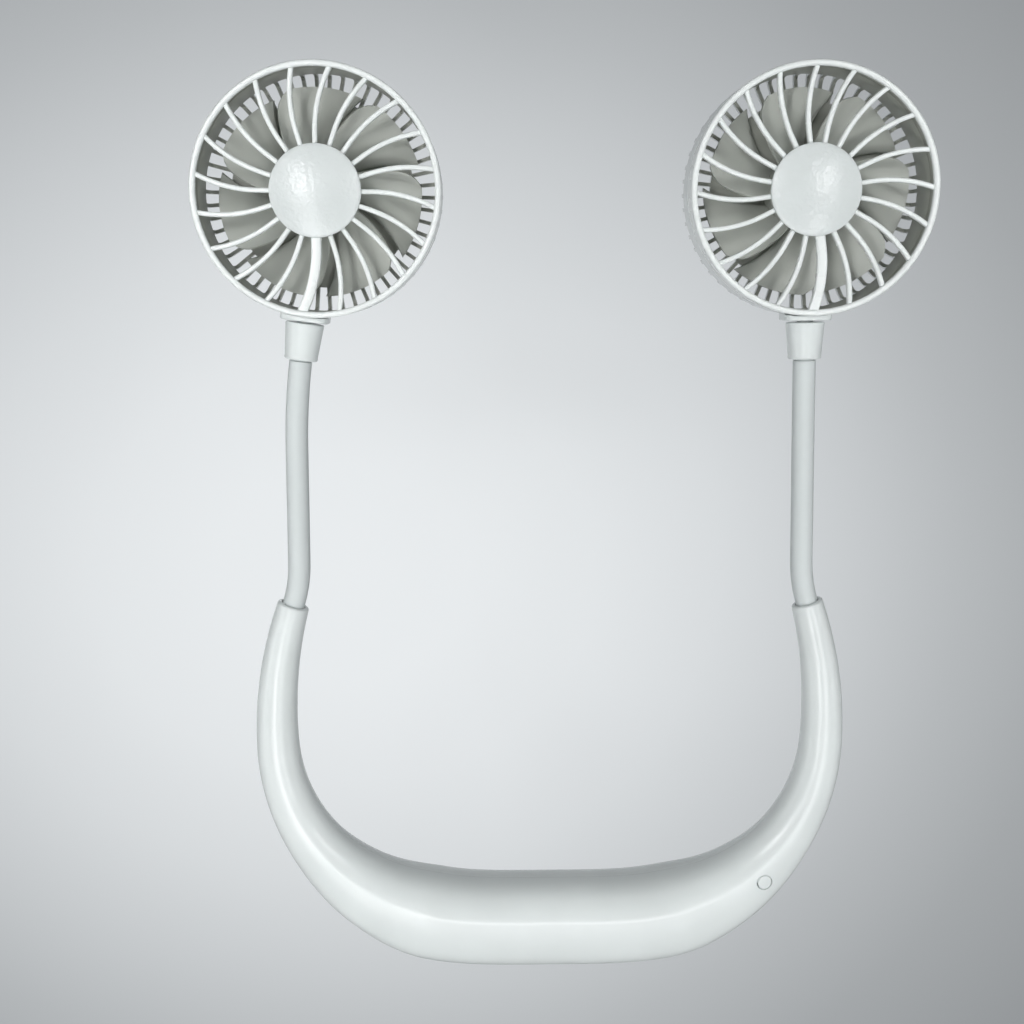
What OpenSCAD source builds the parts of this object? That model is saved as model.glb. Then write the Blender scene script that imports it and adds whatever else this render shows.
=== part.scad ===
/* [Band] */
// Width of the band across its middle, from neck edge to outer edge
band_w = 29.6; // [28:0.1:34]
// Height of the band at its middle
band_h = 25; // [24:0.5:29]
// Half the length of the straight middle
straight_half = 25.5; // [22:0.5:34]
// Radius of the corners, on the centreline
corner_r = 65.5; // [60:0.5:78]
// Turn of each corner, in degrees
corner_turn = 87.5; // [82:0.5:90]
// Radius of the arms, on the centreline
arm_r = 137; // [120:1:170]
// Turn of each arm, in degrees
arm_turn = 20.5; // [16:0.5:24]
// Wall of the two shells
shell_wall = 1.8; // [1.5:0.1:2]
// Wall of the round mouth at each end of the band
mouth_wall = 1.3; // [1.1:0.1:1.6]

/* [Stems] */
// Outer diameter of the sleeves
sleeve_d = 7.2; // [7:0.1:8]
// Diameter of the bendable cores
core_d = 3; // [2.6:0.1:3.2]
// Length of each stem's bend out of the band
low_bend = 14; // [12:0.5:20]
// Length of each stem's straight middle
stem_straight = 38; // [32:0.5:50]
// Length of each stem's bend below the collar
top_bend = 28; // [24:0.5:36]
// Lean of the left stem's straight middle, in degrees towards the other stem
mid_lean_left = 0.5; // [0:0.1:2]
// Lean of the right stem's straight middle
mid_lean_right = 1.5; // [0:0.1:2]
// Lean of the left head
head_lean_left = 8; // [0:0.1:8.5]
// Lean of the right head
head_lean_right = 1.2; // [0:0.1:8.5]

/* [Collars] */
// Length of the collars
collar_len = 11.6; // [11:0.1:14]
// Wall of the collars around the sleeves
collar_wall = 1.6; // [1.3:0.1:2.2]
// How much wider the collars are at the head
collar_flare = 1.8; // [1:0.1:3]
// Diameter of the spigots that the heads swivel on
spigot_d = 5.2; // [4.8:0.1:5.4]

/* [Heads] */
// Outer diameter of the fan heads
head_d = 76; // [70:0.5:84]
// Depth of the fan heads, without the domes of the hub caps
head_depth = 23; // [22:0.5:26]
// Wall of the grille's rim
rim_wall = 1.5; // [1.2:0.1:1.7]
// Wall of the rear covers
cover_wall = 1.9; // [1.8:0.1:2.4]
// Number of ribs in each grille, the wide one included
rib_count = 20; // [16:1:22]
// Width of the thin ribs
rib_w = 1.5; // [1.2:0.1:1.8]
// Width of the rib that carries the leads
wide_rib_w = 3.1; // [2.6:0.1:3.6]
// Depth of the ribs
rib_t = 2.1; // [1.9:0.1:2.5]
// Radius of the ribs' swirl
swirl_r = 40.5; // [34:0.5:60]
// Number of air slots around each rear cover
slot_count = 54; // [40:1:56]
// Width of the bars between the air slots
bar_w = 1.5; // [1.2:0.1:1.7]
// Height of the air slots up the side wall
slot_h = 6; // [5:0.1:9]
// Diameter of the hub caps
cap_d = 27.8; // [26:0.1:30]
// Rise of the hub caps' domes
cap_rise = 1.9; // [1.2:0.1:2.6]

/* [Motors and impellers] */
// Number of blades
blade_count = 7; // [5:1:9]
// Height of the blades
blade_h = 9.6; // [8:0.1:9.8]
// Thickness of the blades, along the shaft
blade_t = 1.3; // [1.1:0.1:1.6]
// Sweep of the blades from hub to tip, in degrees
blade_sweep = 20; // [10:1:26]
// Diameter of the motor cans
motor_d = 20; // [18:0.1:20.5]
// Diameter of the shafts
shaft_d = 2; // [1.6:0.1:2.4]

/* [Electrics] */
// Diameter of the cell
cell_d = 18.3; // [17:0.1:18.6]
// Length of the cell
cell_len = 65; // [60:0.5:66]
// Diameter of the power button
button_d = 4.7; // [4.4:0.1:5.4]
// Width of the charging socket
socket_w = 8.9; // [8.4:0.1:9.2]
// Height of the charging socket
socket_h = 3.2; // [2.8:0.1:3.4]

/* [Hidden] */

// The part lies on its back: Z = 0 is the surface, +Z the side that the fans blow from, +Y points
// from the band to the heads. The origin is the middle of the band's flat back. A side is -1 for
// the left and 1 for the right.
left = -1;
right = 1;

// Named overrun of every cut past the face that it opens
over = 1;
// Facets of round shapes, and of the flat domes
$fn = 64;
dome_facets = 240;
// Sides of the swept sleeves and of the swept leads
sleeve_sides = 16;
lead_sides = 8;

// Clearances
mouth_gap = 0.35;
seam_gap = 0.1;
fit_gap = 0.1;
press_gap = 0.02;
running_gap = 0.05;
swivel_gap = 0.6;
ball_gap = 0.15;
bore_gap = 0.6;
button_gap = 0.2;
port_gap = 0.25;
lead_gap = 0.15;
tip_gap = 3.8;

// Band: shares of its half length, and the share of the taper that is left there
place_shares = [0, 0.22, 0.38, 0.52, 0.66, 0.84, 1];
taper_shares = [1, 1, 0.71, 0.4, 0.235, 0.13, 0];
// Band: the crest's place as a share of the width, and the powers of the section's four quarters
crest_share = 0.05;
crest_inner_share = 2;
crest_outer_share = 3.6;
back_inner_share = 2.7;
back_outer_share = 3;
round_share = 2;
// Band: how far the round back is cut off flat, the front shell's step back at the seam, and the
// rounding of the mouths' rims
back_cut = 0.5;
seam_step = 0.25;
rim_round = 0.8;
// Band: steps of the sweep in a corner, in an arm and at a rim, and of the section outside and
// inside
corner_steps = 13;
arm_steps = 7;
rim_steps = 3;
skin_step = 15;
cavity_step = 22.5;

// Screws: places as shares of the band's half length, and sizes
screw_shares = [-0.64, -0.29, 0.29, 0.64];
screw_r = 1;
screw_len = 9;
screw_head_r = 1.9;
screw_head_t = 1.3;
screw_grip = 4.4;
post_wall = 0.9;
well_gap = 0.2;

// Cell: lift off the floor, saddles that carry it, and the nub at its positive end
cell_lift = 0.8;
saddle_t = 1.6;
saddle_w = 14.6;
saddle_x = 22;
nub_r = 3;
nub_t = 1;

// Board, switch and button: the button's place along and across the band, then sizes
button_share = 0.43;
button_across_share = -0.08;
board_len = 18;
board_w = 10;
board_t = 1;
board_across = -2;
board_gap = 0.4;
peg_inset = 2.4;
peg_r = 1.5;
peg_pin_r = 0.6;
switch_w = 4.5;
switch_h = 3.5;
plunger_r = 1.4;
plunger_h = 0.8;
button_travel = 0.3;
button_flange = 1;
button_flange_t = 1;
button_stem_r = 1.2;
flange_drop = 0.9;
socket_len = 7.3;
socket_recess = 1.6;
socket_wall = 0.3;
socket_tongue_share = 0.24;

// Leads: radius, place across the cavity as a share of its half width, and length of their turns
lead_r = 0.6;
lead_share = 0.8;
lead_turn = 14;
lead_pitch = 10;
lane_steps = 6;

// Stems: how deep the sleeves sit in the mouths and collars, and where the cores' pivots lie
sleeve_seat = 5;
collar_seat = 4;
low_pivot_share = 0.36;
top_pivot_share = 0.5;
ball_swell = 0.4;
cup_swell = 0.45;
cup_start = 1.2;
cup_len = 2.6;
cup_taper = 1.2;
ferrule_len = 7;
stub_hold = 6;
rib_groove_w = 1.8;
rib_groove_depth = 0.8;
rib_groove_share = 0.35;
neck_len = 2.6;
sleeve_low_steps = 5;
sleeve_top_steps = 5;

// Collars and swivels
lid_t = 3;
clip_t = 0.6;
groove_depth = 0.55;
clip_slit = 2;
spigot_tip = 0.8;
spigot_wall = 1.4;
foot_t = 1.6;
foot_h = 13;
foot_corner = 3.2;
foot_lip = 1.4;
foot_root = 1.5;
collar_round = 0.5;

// Heads: heights of the bezel and of the joint under it, and details of the rear cover
bezel_h = 8;
tongue_h = 3;
tongue_t = 1.1;
tongue_root = 3;
cover_floor = 1.8;
cover_round = 3.2;
cover_round_in = 1.4;
back_recess = 0.6;
recess_r = 23.6;
slot_in = 28.9;
// Heads: the ribs' drop below the rim's lip, the start of their swirl, and the hub
rib_drop = 0.8;
rib_step = 0.02;
rib_lap = 0.5;
swirl_in = 17.4;
hub_inset = 0.5;
cup_wall = 1.3;
cup_depth = 6;
cap_peg_r = 4.2;
cap_peg_h = 1.3;
cap_edge = 0.9;

// Motors: height of the can, bush, and the impeller's hub
motor_h = 10.4;
bush_wall = 1.6;
bush_stick = 1.2;
bush_seat = 1.8;
shaft_top_gap = 1.5;
hub_gap = 1;
hub_wall = 1.2;
hub_plate = 1.4;
hub_lift = 1.8;
hub_drop = 0.6;
boss_gap = 0.4;
boss_wall = 1.6;
blade_lift = 0.2;
blade_start = -10;
blade_fill_share = 0.91;
blade_root = 0.6;
blade_steps = 5;
blade_reach_shares = [0, 0.25, 0.5, 0.75, 0.92, 1];
blade_trim_shares = [0, 0, 0, 0, 0.03, 0.11];
camber_share = 0.12;

// Sizes that follow from the ones above
sleeve_r = sleeve_d / 2;
mouth_r = sleeve_r + mouth_gap;
end_d = 2 * (mouth_r + mouth_wall);
head_r = head_d / 2;
stem_z = head_depth / 2;
corner_len = corner_r * corner_turn * PI / 180;
arm_len = arm_r * arm_turn * PI / 180;
band_half = straight_half + corner_len + arm_len;
base_lean = corner_turn + arm_turn - 90;
cell_r = cell_d / 2;
cell_z = shell_wall + cell_lift + cell_r;
core_r = core_d / 2;
ball_r = core_r + ball_swell;
cup_r = core_r + cup_swell;
sleeve_bore_r = max(ball_r, cup_r) + bore_gap;
stem_len = low_bend + stem_straight + top_bend;
low_pivot = low_bend * low_pivot_share;
mid_pivot = low_bend + stem_straight / 2;
top_pivot = low_bend + stem_straight + top_bend * top_pivot_share;
spigot_r = spigot_d / 2;
collar_r = sleeve_r + collar_wall;
collar_top_r = collar_r + collar_flare / 2;
collar_bore_r = sleeve_r + fit_gap;
foot_r = collar_top_r + foot_lip;
clip_r = collar_bore_r - 2 * fit_gap;
groove_r = spigot_r - groove_depth;
clip_y = collar_len - lid_t - fit_gap - clip_t;
spigot_y = clip_y - fit_gap - spigot_tip;
ferrule_r = sleeve_r;
ferrule_groove_r = ferrule_r - rib_groove_depth;
ferrule_end = sleeve_seat + fit_gap + ferrule_len;
stub_end = sleeve_seat + fit_gap + stub_hold;
rib_y = -ferrule_end + ferrule_len * rib_groove_share;
neck_r = sleeve_bore_r * cos(180 / sleeve_sides) - press_gap;
ferrule_top = spigot_y - fit_gap;
head_reach = collar_len + swivel_gap + foot_t + head_r;
rim_in_r = head_r - rim_wall;
cover_in_r = head_r - cover_wall;
split_z = head_depth - bezel_h;
rib_top = head_depth - rib_drop;
rib_z = rib_top - rib_t;
cap_r = cap_d / 2;
cap_z = rib_top + seam_gap;
hub_plate_r = cap_r - hub_inset;
motor_r = motor_d / 2;
motor_top = rib_z - fit_gap;
motor_z = motor_top - motor_h;
cup_out_r = motor_r + fit_gap + cup_wall;
shaft_r = shaft_d / 2;
bush_r = shaft_r + running_gap + bush_wall;
bush_z = motor_z - bush_stick;
fan_z = cover_floor + hub_lift;
fan_top = rib_z - cup_depth - hub_drop;
fan_hub_r = motor_r + hub_gap + hub_wall;
fan_tip_r = cover_in_r - tip_gap;
blade_z = fan_z + blade_lift;
button_s = band_half * button_share;

function lerp(a, b, t) = a + (b - a) * t;
function sinc(x) = x == 0 ? 1 : sin(x) / (x * PI / 180);
// End of an arc that starts at p with heading a, given its length and its turn
function leg(p, a, len, turn) =
    [p.x, p.y] + len * sinc(turn / 2) * [cos(a + turn / 2), sin(a + turn / 2)];
// The same with the heading there as a third value
function placed(p, a, len, turn) = let (q = leg(p, a, len, turn)) [q.x, q.y, a + turn];

// Smooth curve through a table, level where the table is level
function knot(xs, t) = max([for (i = [0:len(xs) - 2]) if (t >= xs[i]) i]);
function rise(xs, ys, i) = (ys[i + 1] - ys[i]) / (xs[i + 1] - xs[i]);
function slope(xs, ys, i) =
    i == 0 ? rise(xs, ys, 0)
    : i == len(xs) - 1 ? rise(xs, ys, i - 1)
    : let (p = rise(xs, ys, i - 1), q = rise(xs, ys, i)) p * q <= 0 ? 0 : 2 * p * q / (p + q);
function along(xs, ys, t) =
    let (i = knot(xs, t), d = xs[i + 1] - xs[i], q = (t - xs[i]) / d, m = slope(xs, ys, i) * d,
        n = slope(xs, ys, i + 1) * d, a = ys[i], b = ys[i + 1])
    a + m * q + (3 * (b - a) - 2 * m - n) * q * q + (m + n - 2 * (b - a)) * q * q * q;

// Place on the band's centreline at length s from its middle: [x, y, heading]
function half_place(s) =
    s <= straight_half ? [s, 0, 0]
    : s <= straight_half + corner_len
    ? placed([straight_half, 0], 0, s - straight_half,
        (s - straight_half) / corner_len * corner_turn)
    : placed(leg([straight_half, 0], 0, corner_len, corner_turn), corner_turn,
        s - straight_half - corner_len, (s - straight_half - corner_len) / arm_len * arm_turn);
function band_place(s) = s >= 0 ? half_place(s) : let (p = half_place(-s)) [-p.x, p.y, -p.z];

// The band's sizes there
function taper(s) = along(place_shares, taper_shares, min(1, abs(s) / band_half));
function width_at(s) = lerp(end_d, band_w, taper(s));
function height_at(s) = lerp(end_d, band_h, taper(s));
function wall_at(s) = lerp(mouth_wall, shell_wall, taper(s));
function base_at(s) = (stem_z - end_d / 2) * (1 - taper(s));
function seam_at(s) = base_at(s) + height_at(s) / 2;

// Point of the section at angle t: across towards the neck, and up from the seam
function bulge(c, n) = sign(c) * pow(abs(c), 2 / n);
function power_at(c, d) =
    d >= 0 ? (c >= 0 ? crest_inner_share : crest_outer_share)
    : (c >= 0 ? back_inner_share : back_outer_share);
function section_point(t, w, h, k) =
    let (c = cos(t), d = sin(t), n = lerp(round_share, power_at(c, d), k), m = crest_share * w * k,
        up = (h / 2 + (d < 0 ? back_cut * k : 0)) * bulge(d, n))
    [m + (w / 2 - sign(c) * m) * bulge(c, n), max(-h / 2, up)];
// Place in the frame of a point of the section at s
function band_point(s, across, z) =
    let (p = band_place(s)) [p.x - across * sin(p.z), p.y + across * cos(p.z), z];
// Height of the band's outer face over a place across
function face_z(s, across) =
    let (w = width_at(s), k = taper(s), m = crest_share * w * k, c = across >= m,
        n = lerp(round_share, c ? crest_inner_share : crest_outer_share, k),
        u = abs(across - m) / (w / 2 + (c ? -m : m)))
    seam_at(s) + height_at(s) / 2 * pow(1 - pow(u, n), 1 / n);

// Stations of the sweep, closer at the rounded rims
rim_turns = [for (i = [0:rim_steps]) 90 * i / rim_steps];
half_stations = concat(
    [for (i = [0:corner_steps - 1]) straight_half + corner_len * i / corner_steps],
    [for (i = [0:arm_steps - 1]) band_half - arm_len * (1 - i / arm_steps)],
    [for (a = rim_turns) band_half - rim_round * (1 - sin(a))]);
stations = concat([for (i = [len(half_stations) - 1:-1:0]) -half_stations[i]], half_stations);
function rim_shrink(s) =
    let (q = max(0, abs(s) - band_half + rim_round))
    rim_round - sqrt(max(0, rim_round * rim_round - q * q));

// One shell's loop at a station: the outer face from angle a to b, and the cavity back
function shell_loop(s, a, b, step_in, lift) =
    let (k = taper(s), w = width_at(s), h = height_at(s), g = rim_shrink(s), t = wall_at(s),
        outer = [for (q = [a:skin_step:b]) section_point(q, w - 2 * (g + step_in), h - 2 * g, k)],
        inner = [for (q = [b:-cavity_step:a]) section_point(q, w - 2 * t, h - 2 * t, k)])
    [for (p = concat(outer, inner))
        band_point(s, p.x, seam_at(s) + (p.y == 0 || abs(p.y) < lift ? lift : p.y))];

// Solid through rings of points, each ring a closed loop that runs clockwise seen along the sweep.
// The end faces are flat, or strips of triangles across rings whose two halves face each other
module skin(rings, strips = false) {
    n = len(rings[0]);
    m = len(rings);
    sides = [for (j = [0:m - 2]) for (i = [0:n - 1]) for (h = [0, 1])
        let (a = j * n + i, b = j * n + (i + 1) % n) h == 0 ? [a, a + n, b] : [b, a + n, b + n]];
    start = strips
        ? [for (i = [0:n / 2 - 2]) each [[i, i + 1, n - 1 - i], [i + 1, n - 2 - i, n - 1 - i]]]
        : [[for (i = [0:n - 1]) i]];
    end = [for (f = start) [for (i = [len(f) - 1:-1:0]) (m - 1) * n + f[i]]];
    polyhedron(points = [for (r = rings) each r], faces = concat(start, sides, end), convexity = 6);
}

// Tube through rings of points, with a bore
module bored_skin(outer, inner) {
    n = len(outer[0]);
    m = len(outer);
    t = m * n;
    sides = [for (j = [0:m - 2]) for (i = [0:n - 1])
        let (a = j * n + i, b = j * n + (i + 1) % n) each
        [[a, a + n, b], [b, a + n, b + n], [t + b, t + a + n, t + a], [t + b, t + b + n, t + a + n]]];
    ends = [for (i = [0:n - 1]) let (q = (i + 1) % n, e = (m - 1) * n) each
        [[q, t + i, i], [q, t + q, t + i], [e + i, t + e + i, e + q], [e + q, t + e + i, t + e + q]]];
    polyhedron(points = concat([for (r = outer) each r], [for (r = inner) each r]),
        faces = concat(sides, ends), convexity = 6);
}

// Ring of points around p, square to the heading a
function ring(p, a, r, n) =
    [for (i = [0:n - 1]) let (t = 360 * i / n) p + r * [-cos(t) * sin(a), cos(t) * cos(a), sin(t)]];

// Frame on the band at s: X along it, Y towards the neck
module at_band(s, z) {
    p = band_place(s);
    translate([p.x, p.y, z]) rotate([0, 0, p.z]) children();
}

// Round bar along Y
module bar(y0, y1, r, top = undef) {
    translate([0, y0, 0]) rotate([-90, 0, 0])
        cylinder(h = y1 - y0, r1 = r, r2 = is_undef(top) ? r : top);
}

// Rectangle with round corners, about its centre
module round_rect(w, h, r) {
    square([w - 2 * r, h], center = true);
    square([w, h - 2 * r], center = true);
    for (x = [-1, 1], y = [-1, 1]) translate([x * (w / 2 - r), y * (h / 2 - r)]) circle(r);
}

// Quarter profile of a pot of radius r and height h whose lower corner is rounded by c
module pot_profile(r, h, c) {
    square([r - c, h]);
    translate([0, c]) square([r, h - c]);
    translate([r - c, c]) circle(c);
}

// Posts that hide the screw heads, and the place of each screw with its seat's height
post_r = screw_head_r + well_gap + post_wall;
function screw_across(s) = crest_share * width_at(s) * taper(s);
function screw_place(s) = band_point(s, screw_across(s), seam_at(s) - screw_grip);
module at_screws() {
    for (q = screw_shares) translate(screw_place(q * band_half)) children();
}

button_across = button_across_share * width_at(button_s);
board_z = base_at(button_s) + shell_wall + socket_h + board_gap;
board_top = board_z + board_t;
plunger_top = board_top + switch_h + plunger_h;
button_top = face_z(button_s, button_across);
socket_out = board_across - board_w / 2 - socket_recess;

// Ribs of both band ends that grip the stem ferrules, kept above or below the seam
module ferrule_ribs(up) {
    for (side = [left, right]) at_stem(side, 0) difference() {
        bar(rib_y + fit_gap, rib_y + rib_groove_w - fit_gap, mouth_r + mouth_wall / 2);
        bar(rib_y - over, rib_y + rib_groove_w + over, ferrule_groove_r + press_gap);
        translate([-end_d, rib_y - over, up ? seam_gap / 2 - end_d : 0])
            cube([2 * end_d, rib_groove_w + 2 * over, end_d]);
    }
}

// Saddles that carry the cell
module saddles() {
    h = cell_z - cell_r / 2 - shell_wall / 2;
    for (x = [-1, 1]) translate([x * saddle_x - saddle_t / 2, 0, 0]) difference() {
        translate([0, -saddle_w / 2, shell_wall / 2]) cube([saddle_t, saddle_w, h]);
        translate([-over, 0, cell_z]) rotate([0, 90, 0])
            cylinder(r = cell_r + press_gap, h = saddle_t + 2 * over);
    }
}

module band_front_shell() {
    color("whitesmoke") difference() {
        union() {
            skin([for (s = stations) shell_loop(s, 0, 180, seam_step, seam_gap / 2)]);
            for (q = screw_shares) {
                s = q * band_half;
                translate(screw_place(s) + [0, 0, screw_grip + seam_gap / 2])
                    cylinder(r = screw_r + post_wall, h = height_at(s) / 2 - wall_at(s) / 2);
            }
            ferrule_ribs(true);
        }
        at_screws() cylinder(r = screw_r + press_gap, h = screw_len + press_gap);
        at_band(button_s, seam_at(button_s)) translate([0, button_across, 0])
            cylinder(r = button_d / 2 + button_gap, h = band_h);
    }
}

module band_rear_shell() {
    color("whitesmoke") difference() {
        union() {
            skin([for (s = stations) shell_loop(s, 180, 360, 0, 0)]);
            for (q = screw_shares) {
                s = q * band_half;
                floor_z = base_at(s) + wall_at(s) / 2;
                translate([0, 0, floor_z - seam_at(s) + screw_grip]) translate(screw_place(s))
                    cylinder(r = post_r, h = seam_at(s) - floor_z);
            }
            saddles();
            board_pegs();
            ferrule_ribs(false);
        }
        at_screws() translate([0, 0, -over]) cylinder(r = screw_r + well_gap, h = band_h);
        at_screws() translate([0, 0, -band_h]) cylinder(r = screw_head_r + well_gap, h = band_h);
        at_band(button_s, board_z - socket_h / 2) translate([0, socket_out + socket_len + port_gap, 0])
            rotate([90, 0, 0]) linear_extrude(band_w)
            round_rect(socket_w + 2 * port_gap, socket_h + 2 * port_gap, socket_h / 2);
    }
}

// Pegs on the floor of the band that the board sits on
module board_pegs() {
    floor_z = base_at(button_s) + shell_wall / 2;
    at_band(button_s, floor_z) for (x = [-1, 1])
        translate([x * (board_len / 2 - peg_inset), board_across + board_w / 2 - peg_inset, 0]) {
            cylinder(r = peg_r, h = board_z - floor_z);
            cylinder(r = peg_pin_r, h = board_top - floor_z);
        }
}

module band_screws() {
    color("silver") at_screws() {
        translate([0, 0, -screw_head_t]) cylinder(r = screw_head_r, h = screw_head_t);
        cylinder(r = screw_r, h = screw_len);
    }
}

module battery_cell() {
    color("seagreen") translate([-cell_len / 2, 0, cell_z]) rotate([0, 90, 0]) {
        cylinder(r = cell_r, h = cell_len - nub_t);
        cylinder(r = nub_r, h = cell_len);
    }
}

module circuit_board() {
    color("darkgreen") at_band(button_s, board_z) difference() {
        translate([0, board_across, 0]) linear_extrude(board_t) square([board_len, board_w], center = true);
        for (x = [-1, 1])
            translate([x * (board_len / 2 - peg_inset), board_across + board_w / 2 - peg_inset, -over])
                cylinder(r = peg_pin_r + fit_gap, h = board_t + 2 * over);
    }
}

module tact_switch() {
    color("dimgray") at_band(button_s, board_top) translate([0, button_across, 0]) {
        translate([-switch_w / 2, -switch_w / 2, 0]) cube([switch_w, switch_w, switch_h]);
        cylinder(r = plunger_r, h = switch_h + plunger_h);
    }
}

module usb_socket() {
    r = socket_h / 2;
    color("silver") at_band(button_s, board_z - r) translate([0, socket_out, 0])
        rotate([-90, 0, 0]) difference() {
            linear_extrude(socket_len) round_rect(socket_w, socket_h, r - socket_wall);
            translate([0, 0, -over]) linear_extrude(socket_len - socket_wall) difference() {
                round_rect(socket_w - 2 * socket_wall, socket_h - 2 * socket_wall, r - 2 * socket_wall);
                square([socket_w - socket_h, socket_h * socket_tongue_share], center = true);
            }
        }
}

module power_button() {
    r = button_d / 2;
    flange_top = button_top - shell_wall - flange_drop;
    flange_z = flange_top - button_flange_t;
    stem_low = plunger_top + button_travel + running_gap;
    color("whitesmoke") at_band(button_s, 0) translate([0, button_across, 0]) {
        translate([0, 0, flange_z]) cylinder(r = r + button_flange, h = button_flange_t);
        translate([0, 0, flange_z]) cylinder(r = r, h = button_top - flange_z);
        translate([0, 0, stem_low]) cylinder(r = button_stem_r, h = flange_top - stem_low);
    }
}

// Route inside the band through way points [s, across, z], in rings a pitch apart
function route(way) = concat(
    [for (i = [0:len(way) - 2]) let (n = ceil(abs(way[i + 1].x - way[i].x) / lead_pitch))
        for (j = [0:n - 1]) lerp(way[i], way[i + 1], j / n)],
    [way[len(way) - 1]]);
module lead(way) {
    skin([for (p = route(way)) ring(band_point(p.x, p.y, p.z), band_place(p.x).z, lead_r, lead_sides)]);
}
function lane(s, side) = [s, side * lead_share * (width_at(s) / 2 - wall_at(s)), seam_at(s)];
function lanes(a, b, side) = [for (i = [0:lane_steps]) lane(lerp(a, b, i / lane_steps), side)];

board_mid_z = board_z + board_t / 2;
board_inner = board_across + board_w / 2 - 2 * lead_r;
board_outer = board_across - board_w / 2 + 2 * lead_r;
cell_end = cell_len / 2 + press_gap;
lead_end = band_half - sleeve_seat - fit_gap - ferrule_len - press_gap;
// Way point where a lead meets the low or the high end of the straight board in the round corner
function board_lead(end, across) =
    [button_s + end * corner_len / corner_turn
        * asin((board_len / 2 + lead_gap) / (corner_r - across)), across, board_mid_z];
// Way point beside the screw post between the cell and the board
post_s = screw_shares[2] * band_half;
post_pass = [post_s, screw_across(post_s) - post_r - 2 * lead_r, lerp(board_mid_z, cell_z, 1 / 2)];

module battery_leads() {
    low = lane(-cell_end - lead_r, -1);
    color("crimson") lead([[cell_end, 0, cell_z], post_pass, board_lead(-1, board_across)]);
    color("dimgray") {
        at_band(low.x, low.z) translate([0, low.y - lead_r, 0]) bar(0, -low.y + lead_r, lead_r);
        lead([[low.x, low.y, low.z], lane(0, -1), lane(cell_end, -1), board_lead(-1, board_outer)]);
    }
}

module motor_leads() {
    low = board_lead(-1, board_inner);
    high = board_lead(1, board_across);
    color("dimgray") {
        lead(concat([[-lead_end, 0, stem_z]], lanes(-lead_end + lead_turn, -cell_end, 1),
            [lane(0, 1), lane(cell_end, 1), lane(low.x - lead_turn, 1), low]));
        lead(concat([high], lanes(high.x + lead_turn, lead_end - lead_turn, -1),
            [[lead_end, 0, stem_z]]));
    }
}

// Place on a stem's centreline at length s from the band's mouth: [x, y, turn], where the turn is
// that of a frame whose Y runs along the stem towards the head
function mid_lean(side) = side == left ? mid_lean_left : mid_lean_right;
function head_lean(side) = side == left ? head_lean_left : head_lean_right;
mouth_place = half_place(band_half);
bend_end = low_bend + stem_straight;
function low_end(side) = placed(mouth_place, 90 + base_lean, low_bend, mid_lean(side) - base_lean);
function top_start(side) = placed(low_end(side), 90 + mid_lean(side), stem_straight, 0);
function top_turn(side) = head_lean(side) - mid_lean(side);
function top_end(side) = placed(top_start(side), 90 + mid_lean(side), top_bend, top_turn(side));
function right_stem(side, s) =
    s <= 0 ? placed(mouth_place, 90 + base_lean, s, 0)
    : s <= low_bend
    ? placed(mouth_place, 90 + base_lean, s, (mid_lean(side) - base_lean) * s / low_bend)
    : s <= bend_end ? placed(low_end(side), 90 + mid_lean(side), s - low_bend, 0)
    : s <= stem_len
    ? placed(top_start(side), 90 + mid_lean(side), s - bend_end, top_turn(side) * (s - bend_end) / top_bend)
    : placed(top_end(side), 90 + head_lean(side), s - stem_len, 0);
function stem_place(side, s) = let (p = right_stem(side, s)) [side * p.x, p.y, side * (p.z - 90)];
module at_stem(side, s) {
    p = stem_place(side, s);
    translate([p.x, p.y, stem_z]) rotate([0, 0, p.z]) children();
}
module at_head(side) {
    p = stem_place(side, stem_len + head_reach);
    translate([p.x, p.y, 0]) rotate([0, 0, p.z]) children();
}

// Pivots of the core: the lowest on the mouth's axis, the middle one on the centreline, the top
// one on the collar's axis
function off_axis(side, s, y) = let (p = stem_place(side, s)) [p.x - y * sin(p.z), p.y + y * cos(p.z)];
function pivot(side, i) =
    i == 0 ? off_axis(side, 0, low_pivot)
    : i == 1 ? off_axis(side, mid_pivot, 0)
    : off_axis(side, stem_len, top_pivot - stem_len);

// Frame at a, with Y towards b
module between(a, b) {
    translate([a.x, a.y, stem_z]) rotate([0, 0, atan2(b.y - a.y, b.x - a.x) - 90]) children();
}

// Link of the core: a cup over the ball below, and a plain bar
module cup_bar(len) {
    difference() {
        union() {
            bar(cup_start, cup_start + cup_len, cup_r);
            bar(cup_start + cup_len, cup_start + cup_len + cup_taper, cup_r, core_r);
            bar(cup_start + cup_len + cup_taper, len, core_r);
        }
        sphere(ball_r + ball_gap);
    }
}
module core_link(side, i) {
    a = pivot(side, i);
    b = pivot(side, i + 1);
    color("dimgray") between(a, b) {
        cup_bar(norm(b - a));
        translate([0, norm(b - a), 0]) sphere(ball_r);
    }
}
module core_link_3(side) {
    color("dimgray") at_stem(side, stem_len) translate([0, top_pivot - stem_len, 0])
        cup_bar(stem_len - top_pivot + ferrule_top - fit_gap);
}
module core_stub(side) {
    color("dimgray") at_stem(side, 0) {
        bar(-stub_end, low_pivot, core_r);
        translate([0, low_pivot, 0]) sphere(ball_r);
    }
}

module stem_ferrule(side) {
    color("silver") at_stem(side, 0) difference() {
        union() {
            bar(-ferrule_end, -sleeve_seat - fit_gap, ferrule_r);
            bar(-ferrule_end + over, -sleeve_seat + neck_len, neck_r);
        }
        bar(-stub_end, 0, core_r + press_gap);
        translate([0, rib_y, 0]) rotate([-90, 0, 0]) difference() {
            cylinder(r = mouth_r + over, h = rib_groove_w);
            translate([0, 0, -over]) cylinder(r = ferrule_groove_r, h = rib_groove_w + 2 * over);
        }
    }
}

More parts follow.
